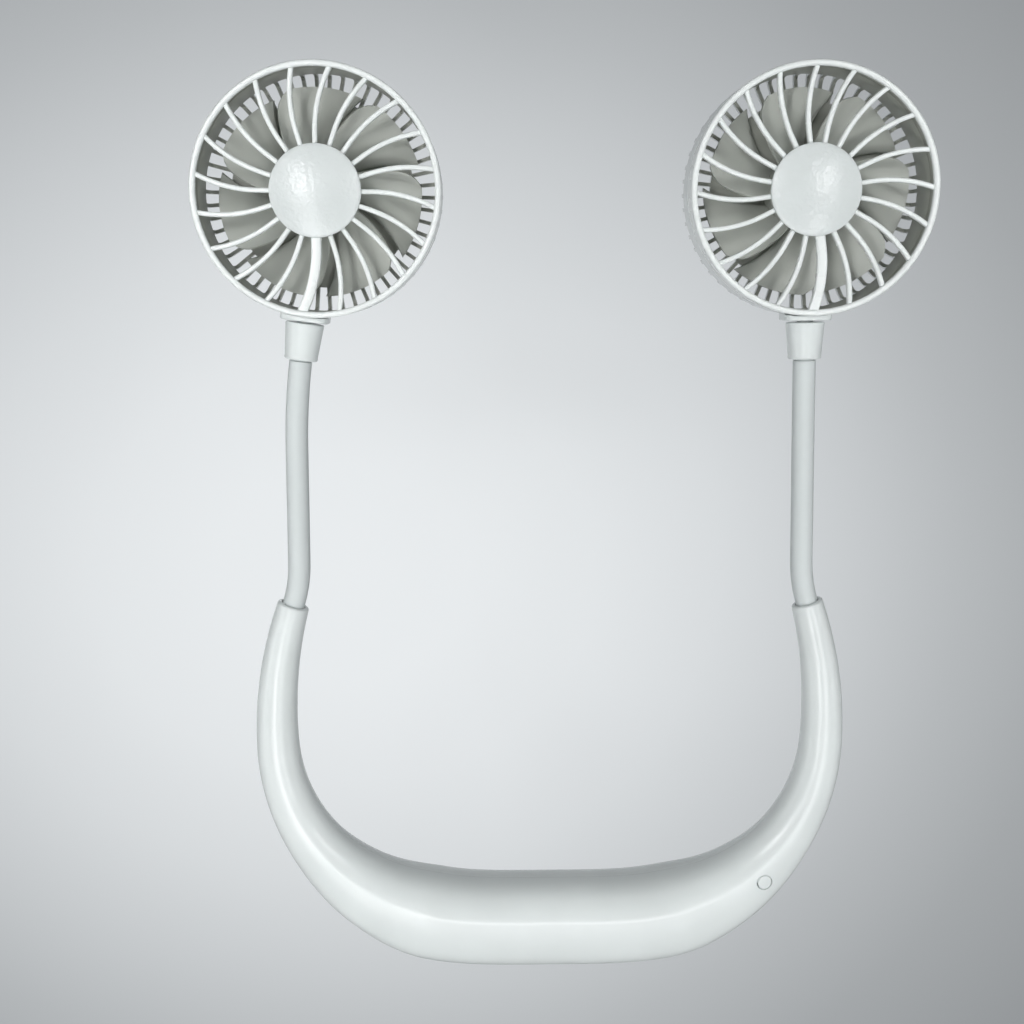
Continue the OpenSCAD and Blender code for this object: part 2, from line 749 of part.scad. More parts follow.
module sleeve(side) {
    places = concat([-sleeve_seat], [for (i = [0:sleeve_low_steps]) low_bend * i / sleeve_low_steps],
        [for (i = [0:sleeve_top_steps]) bend_end + top_bend * i / sleeve_top_steps],
        [stem_len + collar_seat]);
    rings = [for (s = places) stem_place(side, s)];
    color("whitesmoke") bored_skin(
        [for (p = rings) ring([p.x, p.y, stem_z], p.z + 90, sleeve_r, sleeve_sides)],
        [for (p = rings) ring([p.x, p.y, stem_z], p.z + 90, sleeve_bore_r, sleeve_sides)]);
}

module collar(side) {
    lid_r = spigot_r + running_gap;
    lid_y = collar_len - lid_t;
    color("whitesmoke") at_stem(side, stem_len) rotate([-90, 0, 0]) rotate_extrude() polygon([
        [collar_bore_r, 0], [collar_r - collar_round, 0], [collar_r, collar_round],
        [collar_top_r, collar_len - collar_round], [collar_top_r - collar_round, collar_len],
        [lid_r, collar_len], [lid_r, lid_y], [collar_bore_r, lid_y]]);
}

module collar_ferrule(side) {
    color("silver") at_stem(side, stem_len) difference() {
        union() {
            bar(collar_seat + fit_gap, ferrule_top, collar_bore_r - press_gap);
            bar(collar_seat - neck_len, ferrule_top, neck_r);
        }
        bar(-over, ferrule_top - fit_gap, core_r + press_gap);
    }
}

module swivel_clip(side) {
    color("silver") at_stem(side, stem_len) translate([0, clip_y, 0]) rotate([-90, 0, 0]) difference() {
        cylinder(r = clip_r, h = clip_t);
        translate([0, 0, -over]) cylinder(r = groove_r + press_gap, h = clip_t + 2 * over);
        translate([0, -clip_slit / 2, -over]) cube([clip_r + over, clip_slit, clip_t + 2 * over]);
    }
}

// Wedges of the air slots, with bars of even width between them
module slot_wedges() {
    turn = 360 / slot_count;
    apex = bar_w / 2 / sin(turn / 2);
    slot_out = head_r + over;
    for (i = [0:slot_count - 1]) rotate(turn * (i + 1 / 2))
        polygon([[slot_in, (slot_in - apex) * tan(turn / 2)],
            [slot_out, (slot_out - apex) * tan(turn / 2)],
            [slot_out, (apex - slot_out) * tan(turn / 2)],
            [slot_in, (apex - slot_in) * tan(turn / 2)]]);
}

module rear_cover(side) {
    tongue_r = rim_in_r - fit_gap;
    color("whitesmoke") at_head(side) difference() {
        union() {
            difference() {
                rotate_extrude() difference() {
                    pot_profile(head_r, split_z, cover_round);
                    translate([0, cover_floor]) pot_profile(cover_in_r, split_z, cover_round_in);
                }
                translate([0, 0, -over]) linear_extrude(slot_h + over) slot_wedges();
                translate([0, 0, -over]) cylinder(r = recess_r, h = back_recess + over);
            }
            translate([0, 0, split_z - tongue_root]) difference() {
                cylinder(r = tongue_r, h = tongue_root + tongue_h);
                translate([0, 0, -over])
                    cylinder(r = tongue_r - tongue_t, h = tongue_root + tongue_h + 2 * over);
            }
            difference() {
                translate([0, -head_r - foot_t, stem_z]) rotate([-90, 0, 0])
                    linear_extrude(foot_t + head_r - cover_in_r + foot_root)
                    round_rect(2 * foot_r, foot_h, foot_corner);
                translate([0, 0, -over]) cylinder(r = cover_in_r, h = head_depth + over);
                translate([0, 0, split_z]) cylinder(r = head_r + seam_gap, h = head_depth);
            }
            translate([0, 0, stem_z]) difference() {
                bar(spigot_y - head_reach, -head_r - foot_t + over, spigot_r);
                translate([0, clip_y - fit_gap - head_reach, 0]) rotate([-90, 0, 0]) difference() {
                    cylinder(r = spigot_r + over, h = clip_t + fit_gap);
                    translate([0, 0, -over]) cylinder(r = groove_r, h = clip_t + fit_gap + 2 * over);
                }
            }
        }
        translate([0, 0, stem_z]) bar(spigot_y - head_reach - over, -cover_in_r + foot_root + over,
            spigot_r - spigot_wall);
    }
}

// Turn of a rib's arc until it lies at radius r
function swirl_at(r) =
    let (a = 2 * swirl_in * swirl_r, b = 2 * swirl_r * swirl_r, c = r * r - swirl_in * swirl_in - b)
    atan2(b, a) + asin(c / sqrt(a * a + b * b));
rib_reach = swirl_at(head_r);
rib_turn = let (t = swirl_at(rim_in_r))
    atan2(swirl_r * (1 - cos(t)), swirl_in + swirl_r * sin(t));

// Rib: straight out of the hub, a hair smaller than the arc that it runs into
module rib(w) {
    translate([0, rib_step - w / 2, rib_step])
        cube([swirl_in + rib_lap, w - 2 * rib_step, rib_t - 2 * rib_step]);
    translate([swirl_in, -swirl_r, 0]) rotate([0, 0, 90 - rib_reach]) rotate_extrude(angle = rib_reach)
        translate([swirl_r - w / 2, 0]) square([w, rib_t]);
}

module front_grille(side) {
    color("whitesmoke") at_head(side) difference() {
        union() {
            rotate_extrude() {
                translate([rim_in_r, split_z]) square([rim_wall, bezel_h - rim_wall / 2]);
                translate([head_r - rim_wall / 2, head_depth - rim_wall / 2]) circle(rim_wall / 2);
            }
            translate([0, 0, rib_z]) intersection() {
                union() for (i = [0:rib_count - 1])
                    rotate([0, 0, rib_turn - 90 + 360 * i / rib_count]) rib(i == 0 ? wide_rib_w : rib_w);
                cylinder(r = head_r - rim_wall / 2, h = rib_t);
            }
            translate([0, 0, rib_z]) cylinder(r = hub_plate_r, h = rib_t);
            translate([0, 0, rib_z - cup_depth]) cylinder(r = cup_out_r, h = cup_depth + rib_t / 2);
        }
        translate([0, 0, rib_z - cup_depth - over]) cylinder(r = motor_r + fit_gap, h = cup_depth + over);
        translate([0, 0, rib_top - cap_peg_h]) cylinder(r = cap_peg_r + fit_gap, h = cap_peg_h + over);
    }
}

module hub_cap(side) {
    dome_r = (cap_r * cap_r + cap_rise * cap_rise) / (2 * cap_rise);
    color("whitesmoke") at_head(side) translate([0, 0, cap_z]) {
        cylinder(r = cap_r, h = cap_edge);
        intersection() {
            translate([0, 0, cap_edge + cap_rise - dome_r]) sphere(dome_r, $fn = dome_facets);
            cylinder(r = cap_r, h = cap_edge + cap_rise + over);
        }
        translate([0, 0, fit_gap - cap_peg_h]) cylinder(r = cap_peg_r, h = cap_peg_h);
    }
}

module motor_can(side) {
    color("silver") at_head(side) difference() {
        translate([0, 0, motor_z]) cylinder(r = motor_r, h = motor_h);
        translate([0, 0, motor_z - over]) cylinder(r = bush_r + press_gap, h = bush_seat + over);
        translate([0, 0, motor_z]) cylinder(r = shaft_r + fit_gap, h = motor_h - shaft_top_gap + fit_gap);
    }
}

module motor_bush(side) {
    color("darkgoldenrod") at_head(side) translate([0, 0, bush_z]) difference() {
        cylinder(r = bush_r, h = bush_stick + bush_seat);
        translate([0, 0, -over]) cylinder(r = shaft_r + running_gap, h = bush_stick + bush_seat + 2 * over);
    }
}

module motor_shaft(side) {
    color("silver") at_head(side) translate([0, 0, fan_z + hub_plate / 2])
        cylinder(r = shaft_r, h = motor_top - shaft_top_gap - fan_z - hub_plate / 2);
}

// Blade: a low edge that leads clockwise, and a high edge behind it
module blade() {
    reach = fan_tip_r - fan_hub_r + blade_root;
    span = 360 / blade_count * blade_fill_share;
    q_steps = [for (j = [0:blade_steps]) j / blade_steps];
    skin([for (i = [0:len(blade_reach_shares) - 1])
        let (r = fan_hub_r - blade_root + reach * blade_reach_shares[i],
            edge = [for (t = q_steps) let (q = t * (1 - blade_trim_shares[i]),
                a = q * span - blade_sweep * blade_reach_shares[i],
                z = blade_z + (blade_h - blade_t) * (q + camber_share * 4 * q * (1 - q)))
                [r * cos(a), r * sin(a), z]])
        concat(edge, [for (j = [blade_steps:-1:0]) edge[j] + [0, 0, blade_t]])], strips = true);
}

module impeller(side) {
    color("darkseagreen") at_head(side) difference() {
        union() {
            translate([0, 0, fan_z]) difference() {
                cylinder(r = fan_hub_r, h = fan_top - fan_z);
                translate([0, 0, hub_plate]) cylinder(r = fan_hub_r - hub_wall, h = fan_top);
            }
            translate([0, 0, fan_z]) cylinder(r = shaft_r + boss_wall, h = bush_z - boss_gap - fan_z);
            for (i = [0:blade_count - 1])
                rotate([0, 0, blade_start + 360 * i / blade_count]) blade();
        }
        translate([0, 0, fan_z + hub_plate / 2]) cylinder(r = shaft_r + press_gap, h = fan_top);
    }
}

band_front_shell();
band_rear_shell();
band_screws();
battery_cell();
circuit_board();
tact_switch();
usb_socket();
battery_leads();
motor_leads();
power_button();
stem_ferrule(left);  // stem_ferrule_left
core_stub(left);  // core_stub_left
core_link(left, 0);  // core_link_1_left
core_link(left, 1);  // core_link_2_left
core_link_3(left);  // core_link_3_left
sleeve(left);  // sleeve_left
collar(left);  // collar_left
collar_ferrule(left);  // collar_ferrule_left
swivel_clip(left);  // swivel_clip_left
rear_cover(left);  // rear_cover_left
front_grille(left);  // front_grille_left
hub_cap(left);  // hub_cap_left
motor_can(left);  // motor_can_left
motor_bush(left);  // motor_bush_left
motor_shaft(left);  // motor_shaft_left
impeller(left);  // impeller_left
stem_ferrule(right);  // stem_ferrule_right
core_stub(right);  // core_stub_right
core_link(right, 0);  // core_link_1_right
core_link(right, 1);  // core_link_2_right
core_link_3(right);  // core_link_3_right
sleeve(right);  // sleeve_right
collar(right);  // collar_right
collar_ferrule(right);  // collar_ferrule_right
swivel_clip(right);  // swivel_clip_right
rear_cover(right);  // rear_cover_right
front_grille(right);  // front_grille_right
hub_cap(right);  // hub_cap_right
motor_can(right);  // motor_can_right
motor_bush(right);  // motor_bush_right
motor_shaft(right);  // motor_shaft_right
impeller(right);  // impeller_right
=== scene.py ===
"""Looks of the neck fan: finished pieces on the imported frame, materials, light and camera."""

import logging
import math
from abc import ABC, abstractmethod
from dataclasses import dataclass, field
from enum import Enum, IntEnum
from typing import Callable, Sequence

import bmesh
import bpy
from mathutils import Matrix, Vector


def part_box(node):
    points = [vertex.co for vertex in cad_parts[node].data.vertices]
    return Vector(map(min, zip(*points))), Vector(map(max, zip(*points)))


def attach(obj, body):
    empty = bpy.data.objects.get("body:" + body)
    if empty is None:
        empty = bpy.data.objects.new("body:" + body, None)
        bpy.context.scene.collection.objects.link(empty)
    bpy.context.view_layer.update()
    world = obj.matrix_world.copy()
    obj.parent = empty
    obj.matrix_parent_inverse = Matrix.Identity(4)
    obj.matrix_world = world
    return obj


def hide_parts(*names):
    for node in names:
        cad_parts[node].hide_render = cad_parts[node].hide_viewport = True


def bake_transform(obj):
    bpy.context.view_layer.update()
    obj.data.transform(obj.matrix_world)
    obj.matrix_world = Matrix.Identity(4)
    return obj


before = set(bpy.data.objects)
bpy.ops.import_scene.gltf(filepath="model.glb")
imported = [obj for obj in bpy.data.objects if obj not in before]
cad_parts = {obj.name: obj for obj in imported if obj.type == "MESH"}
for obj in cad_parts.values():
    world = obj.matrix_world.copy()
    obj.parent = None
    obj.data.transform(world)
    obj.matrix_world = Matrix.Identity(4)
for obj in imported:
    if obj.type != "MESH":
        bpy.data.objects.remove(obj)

LOG = logging.getLogger("neck_fan")
MM = 0.001

# Degrees over which an edge stays sharp, metres under which points and edges of a turned piece
# fall together, and the range in which most of a noise lies
SHARP = 35.0
WELD = 1e-7
SLIVER = 1e-8
NOISE_RANGE = (0.3, 0.7)

# Corner is x, y and radius. Station is x, y and heading in degrees
Point2 = tuple[float, float]
Point3 = tuple[float, float, float]
Corner = tuple[float, float, float]
Station = tuple[float, float, float]
Socket = bpy.types.NodeSocket


class Side(IntEnum):
    """Side of the fan, as the sign of X."""

    LEFT = -1
    RIGHT = 1

    @property
    def tag(self) -> str:
        """Ending of the names of this side's nodes and bodies."""
        return self.name.lower()


# Helpers


def lerp(a: float, b: float, t: float) -> float:
    """Blend two numbers.

    Args:
        a: Value at t = 0.
        b: Value at t = 1.
        t: Share of the way.

    Returns:
        The value between them.
    """
    return a + (b - a) * t


def arc_step(start: Point2, heading: float, length: float, turn: float) -> Station:
    """Follow an arc.

    Args:
        start: Where the arc starts.
        heading: Heading there, in degrees.
        length: Length of the arc.
        turn: Turn along it, in degrees.

    Returns:
        x, y and heading at its end.
    """
    half = math.radians(turn / 2)
    chord = length * (math.sin(half) / half if abs(half) > 1e-9 else 1.0)
    a = math.radians(heading) + half
    return start[0] + chord * math.cos(a), start[1] + chord * math.sin(a), heading + turn


def fillet(corners: Sequence[Corner], steps: int = 5) -> list[Point2]:
    """Round the corners of a closed outline.

    Args:
        corners: The corners, in order.
        steps: Segments of each round corner.

    Returns:
        Points of the rounded outline.
    """
    most = 0.49
    out: list[Point2] = []
    n = len(corners)
    for i, (x, y, r) in enumerate(corners):
        here = Vector((x, y))
        if r <= 0:
            out.append((x, y))
            continue
        before = Vector(corners[i - 1][:2]) - here
        after = Vector(corners[(i + 1) % n][:2]) - here
        half = before.angle(after) / 2
        reach = min(r / math.tan(half), before.length * most, after.length * most)
        r = reach * math.tan(half)
        a, b = here + before.normalized() * reach, here + after.normalized() * reach
        centre = here + (before.normalized() + after.normalized()).normalized() * (r / math.sin(half))
        start, end = a - centre, b - centre
        sweep = start.angle_signed(end)
        for k in range(steps + 1):
            out.append(tuple(centre + Matrix.Rotation(-sweep * k / steps, 2) @ start))
    return out


def eased(start: float, end: float, steps: int) -> list[float]:
    """Angles from start to end, closer together at every multiple of 90 degrees.

    Args:
        start: First angle, a multiple of 90.
        end: Last angle, a multiple of 90.
        steps: Steps in each quarter turn.

    Returns:
        The angles, both ends included.
    """
    out = [start]
    quarters = round(abs(end - start) / 90)
    turn = math.copysign(90, end - start)
    for q in range(quarters):
        for i in range(1, steps + 1):
            out.append(start + turn * (q + (1 - math.cos(math.pi * i / steps)) / 2))
    return out


def rounded_box(half_w: float, half_h: float, r: float, steps: int) -> list[Point2]:
    """Outline of a box with round corners.

    Args:
        half_w: Half its width.
        half_h: Half its height.
        r: Radius of the corners.
        steps: Segments of each corner.

    Returns:
        Points of the outline.
    """
    signs = ((-1, -1), (1, -1), (1, 1), (-1, 1))
    return fillet([(i * half_w, j * half_h, r) for i, j in signs], steps)


def circle(r: float, steps: int) -> list[Point2]:
    """Points of a circle.

    Args:
        r: Radius.
        steps: Number of points.

    Returns:
        The points.
    """
    turns = (2 * math.pi * i / steps for i in range(steps))
    return [(r * math.cos(a), r * math.sin(a)) for a in turns]


def new_object(name: str, data: bpy.types.ID) -> bpy.types.Object:
    """Make an object and link it to the scene.

    Args:
        name: Name of the object.
        data: Its mesh, camera or light.

    Returns:
        The object.
    """
    obj = bpy.data.objects.new(name, data)
    bpy.context.scene.collection.objects.link(obj)
    return obj


class Maker:
    """Makes mesh objects, in millimetres, and places them in the frame."""

    @staticmethod
    def mesh(name: str, verts: Sequence[Point3], faces: Sequence[Sequence[int]], sharp: float = SHARP,
             place: Matrix | None = None, weld: bool = False) -> bpy.types.Object:
        """Make an object from vertices and faces.

        Args:
            name: Name of the object.
            verts: Vertices in millimetres.
            faces: Faces as vertex numbers.
            sharp: Angle in degrees over which an edge stays sharp.
            place: Matrix, in millimetres, that puts the vertices in place.
            weld: Whether points at one place become one.

        Returns:
            The new object.
        """
        data = bpy.data.meshes.new(name)
        if place is not None:
            verts = [place @ Vector(v) for v in verts]
        data.from_pydata([Vector(v) * MM for v in verts], [], faces)
        bm = bmesh.new()
        bm.from_mesh(data)
        if weld:
            bmesh.ops.remove_doubles(bm, verts=bm.verts, dist=WELD)
            bmesh.ops.dissolve_degenerate(bm, edges=bm.edges, dist=SLIVER)
        bmesh.ops.recalc_face_normals(bm, faces=bm.faces)
        bm.to_mesh(data)
        bm.free()
        data.shade_smooth()
        data.set_sharp_from_angle(angle=math.radians(sharp))
        return new_object(name, data)

    @staticmethod
    def join(name: str, parts: Sequence[bpy.types.Object]) -> bpy.types.Object:
        """Join objects into one.

        Args:
            name: Name of the result.
            parts: Objects to join. They are removed.

        Returns:
            The joined object.
        """
        data = bpy.data.meshes.new(name)
        bm = bmesh.new()
        for p in parts:
            bm.from_mesh(p.data)
        bm.to_mesh(data)
        bm.free()
        for p in parts:
            bpy.data.objects.remove(p)
        return new_object(name, data)

    @staticmethod
    def cut(obj: bpy.types.Object, cutter: bpy.types.Object, sharp: float = SHARP) -> None:
        """Cut one closed mesh out of another.

        Args:
            obj: Object that is cut.
            cutter: Object that cuts. It is removed.
            sharp: Angle in degrees over which an edge stays sharp.
        """
        m = obj.modifiers.new("cut", "BOOLEAN")
        m.operation, m.solver, m.object = "DIFFERENCE", "EXACT", cutter
        dg = bpy.context.evaluated_depsgraph_get()
        data = bpy.data.meshes.new_from_object(obj.evaluated_get(dg))
        obj.modifiers.clear()
        obj.data = data
        data.set_sharp_from_angle(angle=math.radians(sharp))
        bpy.data.objects.remove(cutter)

    @staticmethod
    def grid_faces(rows: int, cols: int, closed_rows: bool = False) -> list[tuple[int, int, int, int]]:
        """Faces between rows of points whose columns close into loops.

        Args:
            rows: Number of rows.
            cols: Points in each row.
            closed_rows: Whether the last row joins the first.

        Returns:
            Four-sided faces.
        """
        return [(j * cols + i, j * cols + (i + 1) % cols,
                 (j + 1) % rows * cols + (i + 1) % cols, (j + 1) % rows * cols + i)
                for j in range(rows if closed_rows else rows - 1) for i in range(cols)]

    @classmethod
    def loft(cls, name: str, rings: Sequence[Sequence[Point3]], sharp: float = SHARP,
             place: Matrix | None = None) -> bpy.types.Object:
        """Skin closed rings of points, and close both ends.

        Args:
            name: Name of the object.
            rings: Rings with the same number of points.
            sharp: Angle in degrees over which an edge stays sharp.
            place: Matrix, in millimetres, that puts the vertices in place.

        Returns:
            The new object.
        """
        n = len(rings[0])
        faces: list[Sequence[int]] = list(cls.grid_faces(len(rings), n))
        faces += [tuple(range(n)), tuple((len(rings) - 1) * n + i for i in range(n))]
        return cls.mesh(name, [p for r in rings for p in r], faces, sharp, place)

    @classmethod
    def lathe(cls, name: str, profile: Sequence[Point2], steps: int, sharp: float = SHARP,
              place: Matrix | None = None) -> bpy.types.Object:
        """Turn a closed outline about Z.

        Args:
            name: Name of the object.
            profile: Radius and height of each point. Points on the axis may repeat.
            steps: Steps of the turn.
            sharp: Angle in degrees over which an edge stays sharp.
            place: Matrix, in millimetres, that puts the vertices in place.

        Returns:
            The new object.
        """
        turns = (2 * math.pi * k / steps for k in range(steps))
        verts = [(r * math.cos(a), r * math.sin(a), z) for a in turns for r, z in profile]
        return cls.mesh(name, verts, cls.grid_faces(steps, len(profile), True), sharp, place, True)

    @classmethod
    def prism(cls, name: str, outline: Sequence[Point2], high: float, place: Matrix) -> bpy.types.Object:
        """Raise a closed outline along Z.

        Args:
            name: Name of the object.
            outline: Points of the outline.
            high: Height of its upper face.
            place: Matrix, in millimetres, that puts the vertices in place.

        Returns:
            The new object.
        """
        return cls.loft(name, [[(x, y, z) for x, y in outline] for z in (0.0, high)], SHARP, place)

    @staticmethod
    def mark(obj: bpy.types.Object, test: Callable[[Vector, Vector], bool]) -> None:
        """Mark faces that take the painted shade: a darker copy of the plastic that stands in for shade
        inside a head.

        Args:
            obj: Object whose faces are marked.
            test: Tells by a face's centre, in millimetres, and its normal whether it is marked.
        """
        for face in obj.data.polygons:
            face.material_index = int(test(face.center / MM, face.normal))


# Finishes


class Graph:
    """Small helper that wires a material's nodes."""

    def __init__(self, name: str) -> None:
        """Start a material with one plain shader.

        Args:
            name: Name of the material.
        """
        self.material = bpy.data.materials.new(name)
        self.material.use_nodes = True
        self.tree = self.material.node_tree
        self.tree.nodes.clear()
        self.out = self.add("ShaderNodeOutputMaterial")
        self.shader = self.add("ShaderNodeBsdfPrincipled")
        self.link(self.shader.outputs[0], self.out.inputs[0])

    def add(self, kind: str, **values: object) -> bpy.types.Node:
        """Add a node.

        Args:
            kind: Node type.
            **values: Attributes of the node to set.

        Returns:
            The node.
        """
        node = self.tree.nodes.new(kind)
        for key, value in values.items():
            setattr(node, key, value)
        return node

    @staticmethod
    def put(node: bpy.types.Node, values: dict[str, object]) -> None:
        """Set inputs of a node to constant values.

        Args:
            node: The node.
            values: Value of each input, by the input's name.
        """
        for key, value in values.items():
            node.inputs[key].default_value = value

    def link(self, a: Socket, b: Socket) -> None:
        """Join an output to an input.

        Args:
            a: Output.
            b: Input.
        """
        self.tree.links.new(a, b)

    def grid(self, stretch: Point3 = (1, 1, 1)) -> Socket:
        """The object's own coordinates.

        Args:
            stretch: Factor along each axis.

        Returns:
            The coordinates' socket.
        """
        place = self.add("ShaderNodeTexCoord")
        scaled = self.add("ShaderNodeMapping")
        self.put(scaled, {"Scale": stretch})
        self.link(place.outputs["Object"], scaled.inputs["Vector"])
        return scaled.outputs[0]

    def noise(self, scale: float, detail: float = 2.0, stretch: Point3 = (1, 1, 1)) -> Socket:
        """Noise over the object's own coordinates.

        Args:
            scale: Scale per metre.
            detail: Octaves.
            stretch: Factor along each axis.

        Returns:
            The noise value's socket.
        """
        noise = self.add("ShaderNodeTexNoise")
        self.put(noise, {"Scale": scale, "Detail": detail})
        self.link(self.grid(stretch), noise.inputs["Vector"])
        return noise.outputs[0]

    def ramp(self, source: Socket, stops: Sequence[tuple[float, Sequence[float]]]) -> Socket:
        """Map a value to colours.

        Args:
            source: Value from 0 to 1.
            stops: Position and colour of each stop.

        Returns:
            The colour's socket.
        """
        node = self.add("ShaderNodeValToRGB")
        ramp = node.color_ramp
        while len(ramp.elements) < len(stops):
            ramp.elements.new(0.5)
        for element, (at, colour) in zip(ramp.elements, stops):
            element.position = at
            element.color = (*colour, 1)
        self.link(source, node.inputs[0])
        return node.outputs[0]

    def tint(self, source: Socket, colour: Point3, low: float, high: float = 1.0) -> None:
        """Let the shader's colour drift with a noise.

        Args:
            source: The noise.
            colour: The colour.
            low: Factor of the colour where the noise is low.
            high: Factor where it is high.
        """
        ends = [tuple(min(1.0, c * k) for c in colour) for k in (low, high)]
        self.link(self.ramp(source, tuple(zip(NOISE_RANGE, ends))), self.shader.inputs["Base Color"])

    def gloss(self, source: Socket, rough: Point2) -> None:
        """Let the shader's roughness drift with a noise.

        Args:
            source: The noise.
            rough: Roughness where the noise is low, and where it is high.
        """
        node = self.add("ShaderNodeMapRange")
        self.put(node, {"From Min": NOISE_RANGE[0], "From Max": NOISE_RANGE[1],
                        "To Min": rough[0], "To Max": rough[1]})
        self.link(source, node.inputs[0])
        self.link(node.outputs[0], self.shader.inputs["Roughness"])

    def bump(self, layers: Sequence[tuple[Socket, float, float]]) -> None:
        """Stack bump layers onto the shader's normal.

        Args:
            layers: Height socket, strength and distance in metres of each layer.
        """
        last = None
        for height, strength, distance in layers:
            node = self.add("ShaderNodeBump")
            self.put(node, {"Strength": strength, "Distance": distance})
            self.link(height, node.inputs["Height"])
            if last is not None:
                self.link(last, node.inputs["Normal"])
            last = node.outputs[0]
        self.link(last, self.shader.inputs["Normal"])


class Finish(ABC):
    """A finish that can be made into a material."""

    @abstractmethod
    def make(self, name: str) -> bpy.types.Material:
        """Build the material.

        Args:
            name: Name of the material.

        Returns:
            The material.
        """


@dataclass(frozen=True)
class Plastic(Finish):
    """Moulded plastic: slight drift of colour and gloss, and a fine spark-eroded grain."""

    colour: Point3
    drift: float = 0.03
    rough: Point2 = (0.34, 0.44)
    grain: float = 0.12
    grain_scale: float = 1500.0
    grain_depth: float = 0.0001
    wave_share: float = 0.6
    wave_scale: float = 260.0
    wave_depth: float = 0.0002
    cloud_scale: float = 38.0
    gloss_scale: float = 160.0
    glow: float = 0.0
    glow_depth: float = 0.0015

    def make(self, name: str) -> bpy.types.Material:
        """Build the material.

        Args:
            name: Name of the material.

        Returns:
            The material.
        """
        g = Graph(name)
        g.tint(g.noise(self.cloud_scale, 3), self.colour, 1 - self.drift, 1 + self.drift)
        g.gloss(g.noise(self.gloss_scale, 2), self.rough)
        if self.glow:
            g.put(g.shader, {"Subsurface Weight": self.glow, "Subsurface Radius": (1.0, 1.0, 0.95),
                             "Subsurface Scale": self.glow_depth})
        g.bump([(g.noise(self.grain_scale, 1), self.grain, self.grain_depth),
                (g.noise(self.wave_scale, 2), self.grain * self.wave_share, self.wave_depth)])
        return g.material


@dataclass(frozen=True)
class Silicone(Finish):
    """Soft sleeve: matt, with a faint waviness along it and a dusty sheen."""

    colour: Point3
    drift: float = 0.04
    rough: Point2 = (0.5, 0.6)
    shine: float = 0.4
    sheen: float = 0.08
    sheen_rough: float = 0.5
    skin: float = 0.1

    def make(self, name: str) -> bpy.types.Material:
        """Build the material.

        Args:
            name: Name of the material.

        Returns:
            The material.
        """
        g = Graph(name)
        g.tint(g.noise(60, 3, (1, 0.3, 1)), self.colour, 1 - self.drift)
        g.gloss(g.noise(300, 2), self.rough)
        g.put(g.shader, {"Specular IOR Level": self.shine, "Sheen Weight": self.sheen,
                         "Sheen Roughness": self.sheen_rough})
        g.bump([(g.noise(900, 2), self.skin, 0.0001), (g.noise(120, 2, (1, 0.2, 1)), self.skin, 0.0004)])
        return g.material


@dataclass(frozen=True)
class Metal(Finish):
    """Metal with fine brushing along one axis."""

    colour: Point3
    rough: Point2 = (0.25, 0.4)
    stretch: Point3 = (1, 1, 12)
    drift: float = 0.15
    brush: float = 0.15
    brush_scale: float = 700.0
    brush_depth: float = 0.00005

    def make(self, name: str) -> bpy.types.Material:
        """Build the material.

        Args:
            name: Name of the material.

        Returns:
            The material.
        """
        g = Graph(name)
        lines = g.noise(self.brush_scale, 3, self.stretch)
        g.tint(lines, self.colour, 1 - self.drift)
        g.gloss(lines, self.rough)
        g.put(g.shader, {"Metallic": 1.0})
        g.bump([(lines, self.brush, self.brush_depth)])
        return g.material


@dataclass(frozen=True)
class Laminate(Finish):
    """Circuit board: solder mask over faint tracks."""

    colour: Point3
    track_scale: float = 420.0
    track_width: float = 0.03
    track_shades: Point3 = (1.0, 0.85, 1.6)
    rough: Point2 = (0.3, 0.42)

    def make(self, name: str) -> bpy.types.Material:
        """Build the material.

        Args:
            name: Name of the material.

        Returns:
            The material.
        """
        g = Graph(name)
        tracks = g.add("ShaderNodeTexBrick")
        g.put(tracks, {"Scale": self.track_scale, "Mortar Size": self.track_width})
        for key, shade in zip(("Color1", "Color2", "Mortar"), self.track_shades):
            g.put(tracks, {key: (*(c * shade for c in self.colour), 1)})
        g.link(g.grid(), tracks.inputs["Vector"])
        g.link(tracks.outputs[0], g.shader.inputs["Base Color"])
        g.gloss(g.noise(500, 2), self.rough)
        g.bump([(tracks.outputs[1], 0.2, 0.0001)])
        return g.material


class Look(Enum):
    """Finishes of the fan, and how each is made."""

    SHELL = Plastic((0.74, 0.785, 0.78), rough=(0.21, 0.26), grain=0.09)
    # Painted shade: the shell's plastic made darker for the hub cap; its coarser grain is the cap's own
    DOME = Plastic((0.7, 0.745, 0.74), rough=(0.2, 0.24), grain=1.0, grain_scale=900, grain_depth=0.00013)
    # Painted highlight: the shell's plastic made lighter for rim, ribs and hub, whose narrow tops catch the
    # light
    GRILLE = Plastic((0.83, 0.87, 0.86), rough=(0.24, 0.3), grain=0.09)
    # Painted shade: the shell's white plastic made darker, for the inner faces of the heads where shade
    # falls
    SHADE = Plastic((0.38, 0.395, 0.355), rough=(0.45, 0.55), grain=0.1)
    SLEEVE = Silicone((0.65, 0.695, 0.695))
    IMPELLER = Plastic((0.44, 0.46, 0.425), rough=(0.36, 0.46), glow=0.1)
    MOTOR = Metal((0.6, 0.6, 0.58))
    SCREW = Metal((0.5, 0.5, 0.5), stretch=(1, 1, 1))
    CORE = Metal((0.35, 0.35, 0.35), (0.35, 0.5))
    FITTING = Metal((0.65, 0.65, 0.65))
    BUSH = Metal((0.6, 0.42, 0.18), (0.4, 0.55), (1, 1, 1))
    CELL = Plastic((0.06, 0.3, 0.22), 0.08, (0.2, 0.3), 0.05)
    BOARD = Laminate((0.02, 0.12, 0.05))
    SWITCH = Plastic((0.03, 0.03, 0.03), 0.1, (0.45, 0.6))
    SOCKET = Metal((0.65, 0.65, 0.65), (0.2, 0.3), (1, 1, 1))
    LEAD = Plastic((0.05, 0.05, 0.05), 0.1, (0.4, 0.5), 0.05)

    @property
    def slot(self) -> str:
        """The record's material slot that the finish belongs to."""
        return "shell" if self in (Look.DOME, Look.GRILLE, Look.SHADE) else self.name.lower()


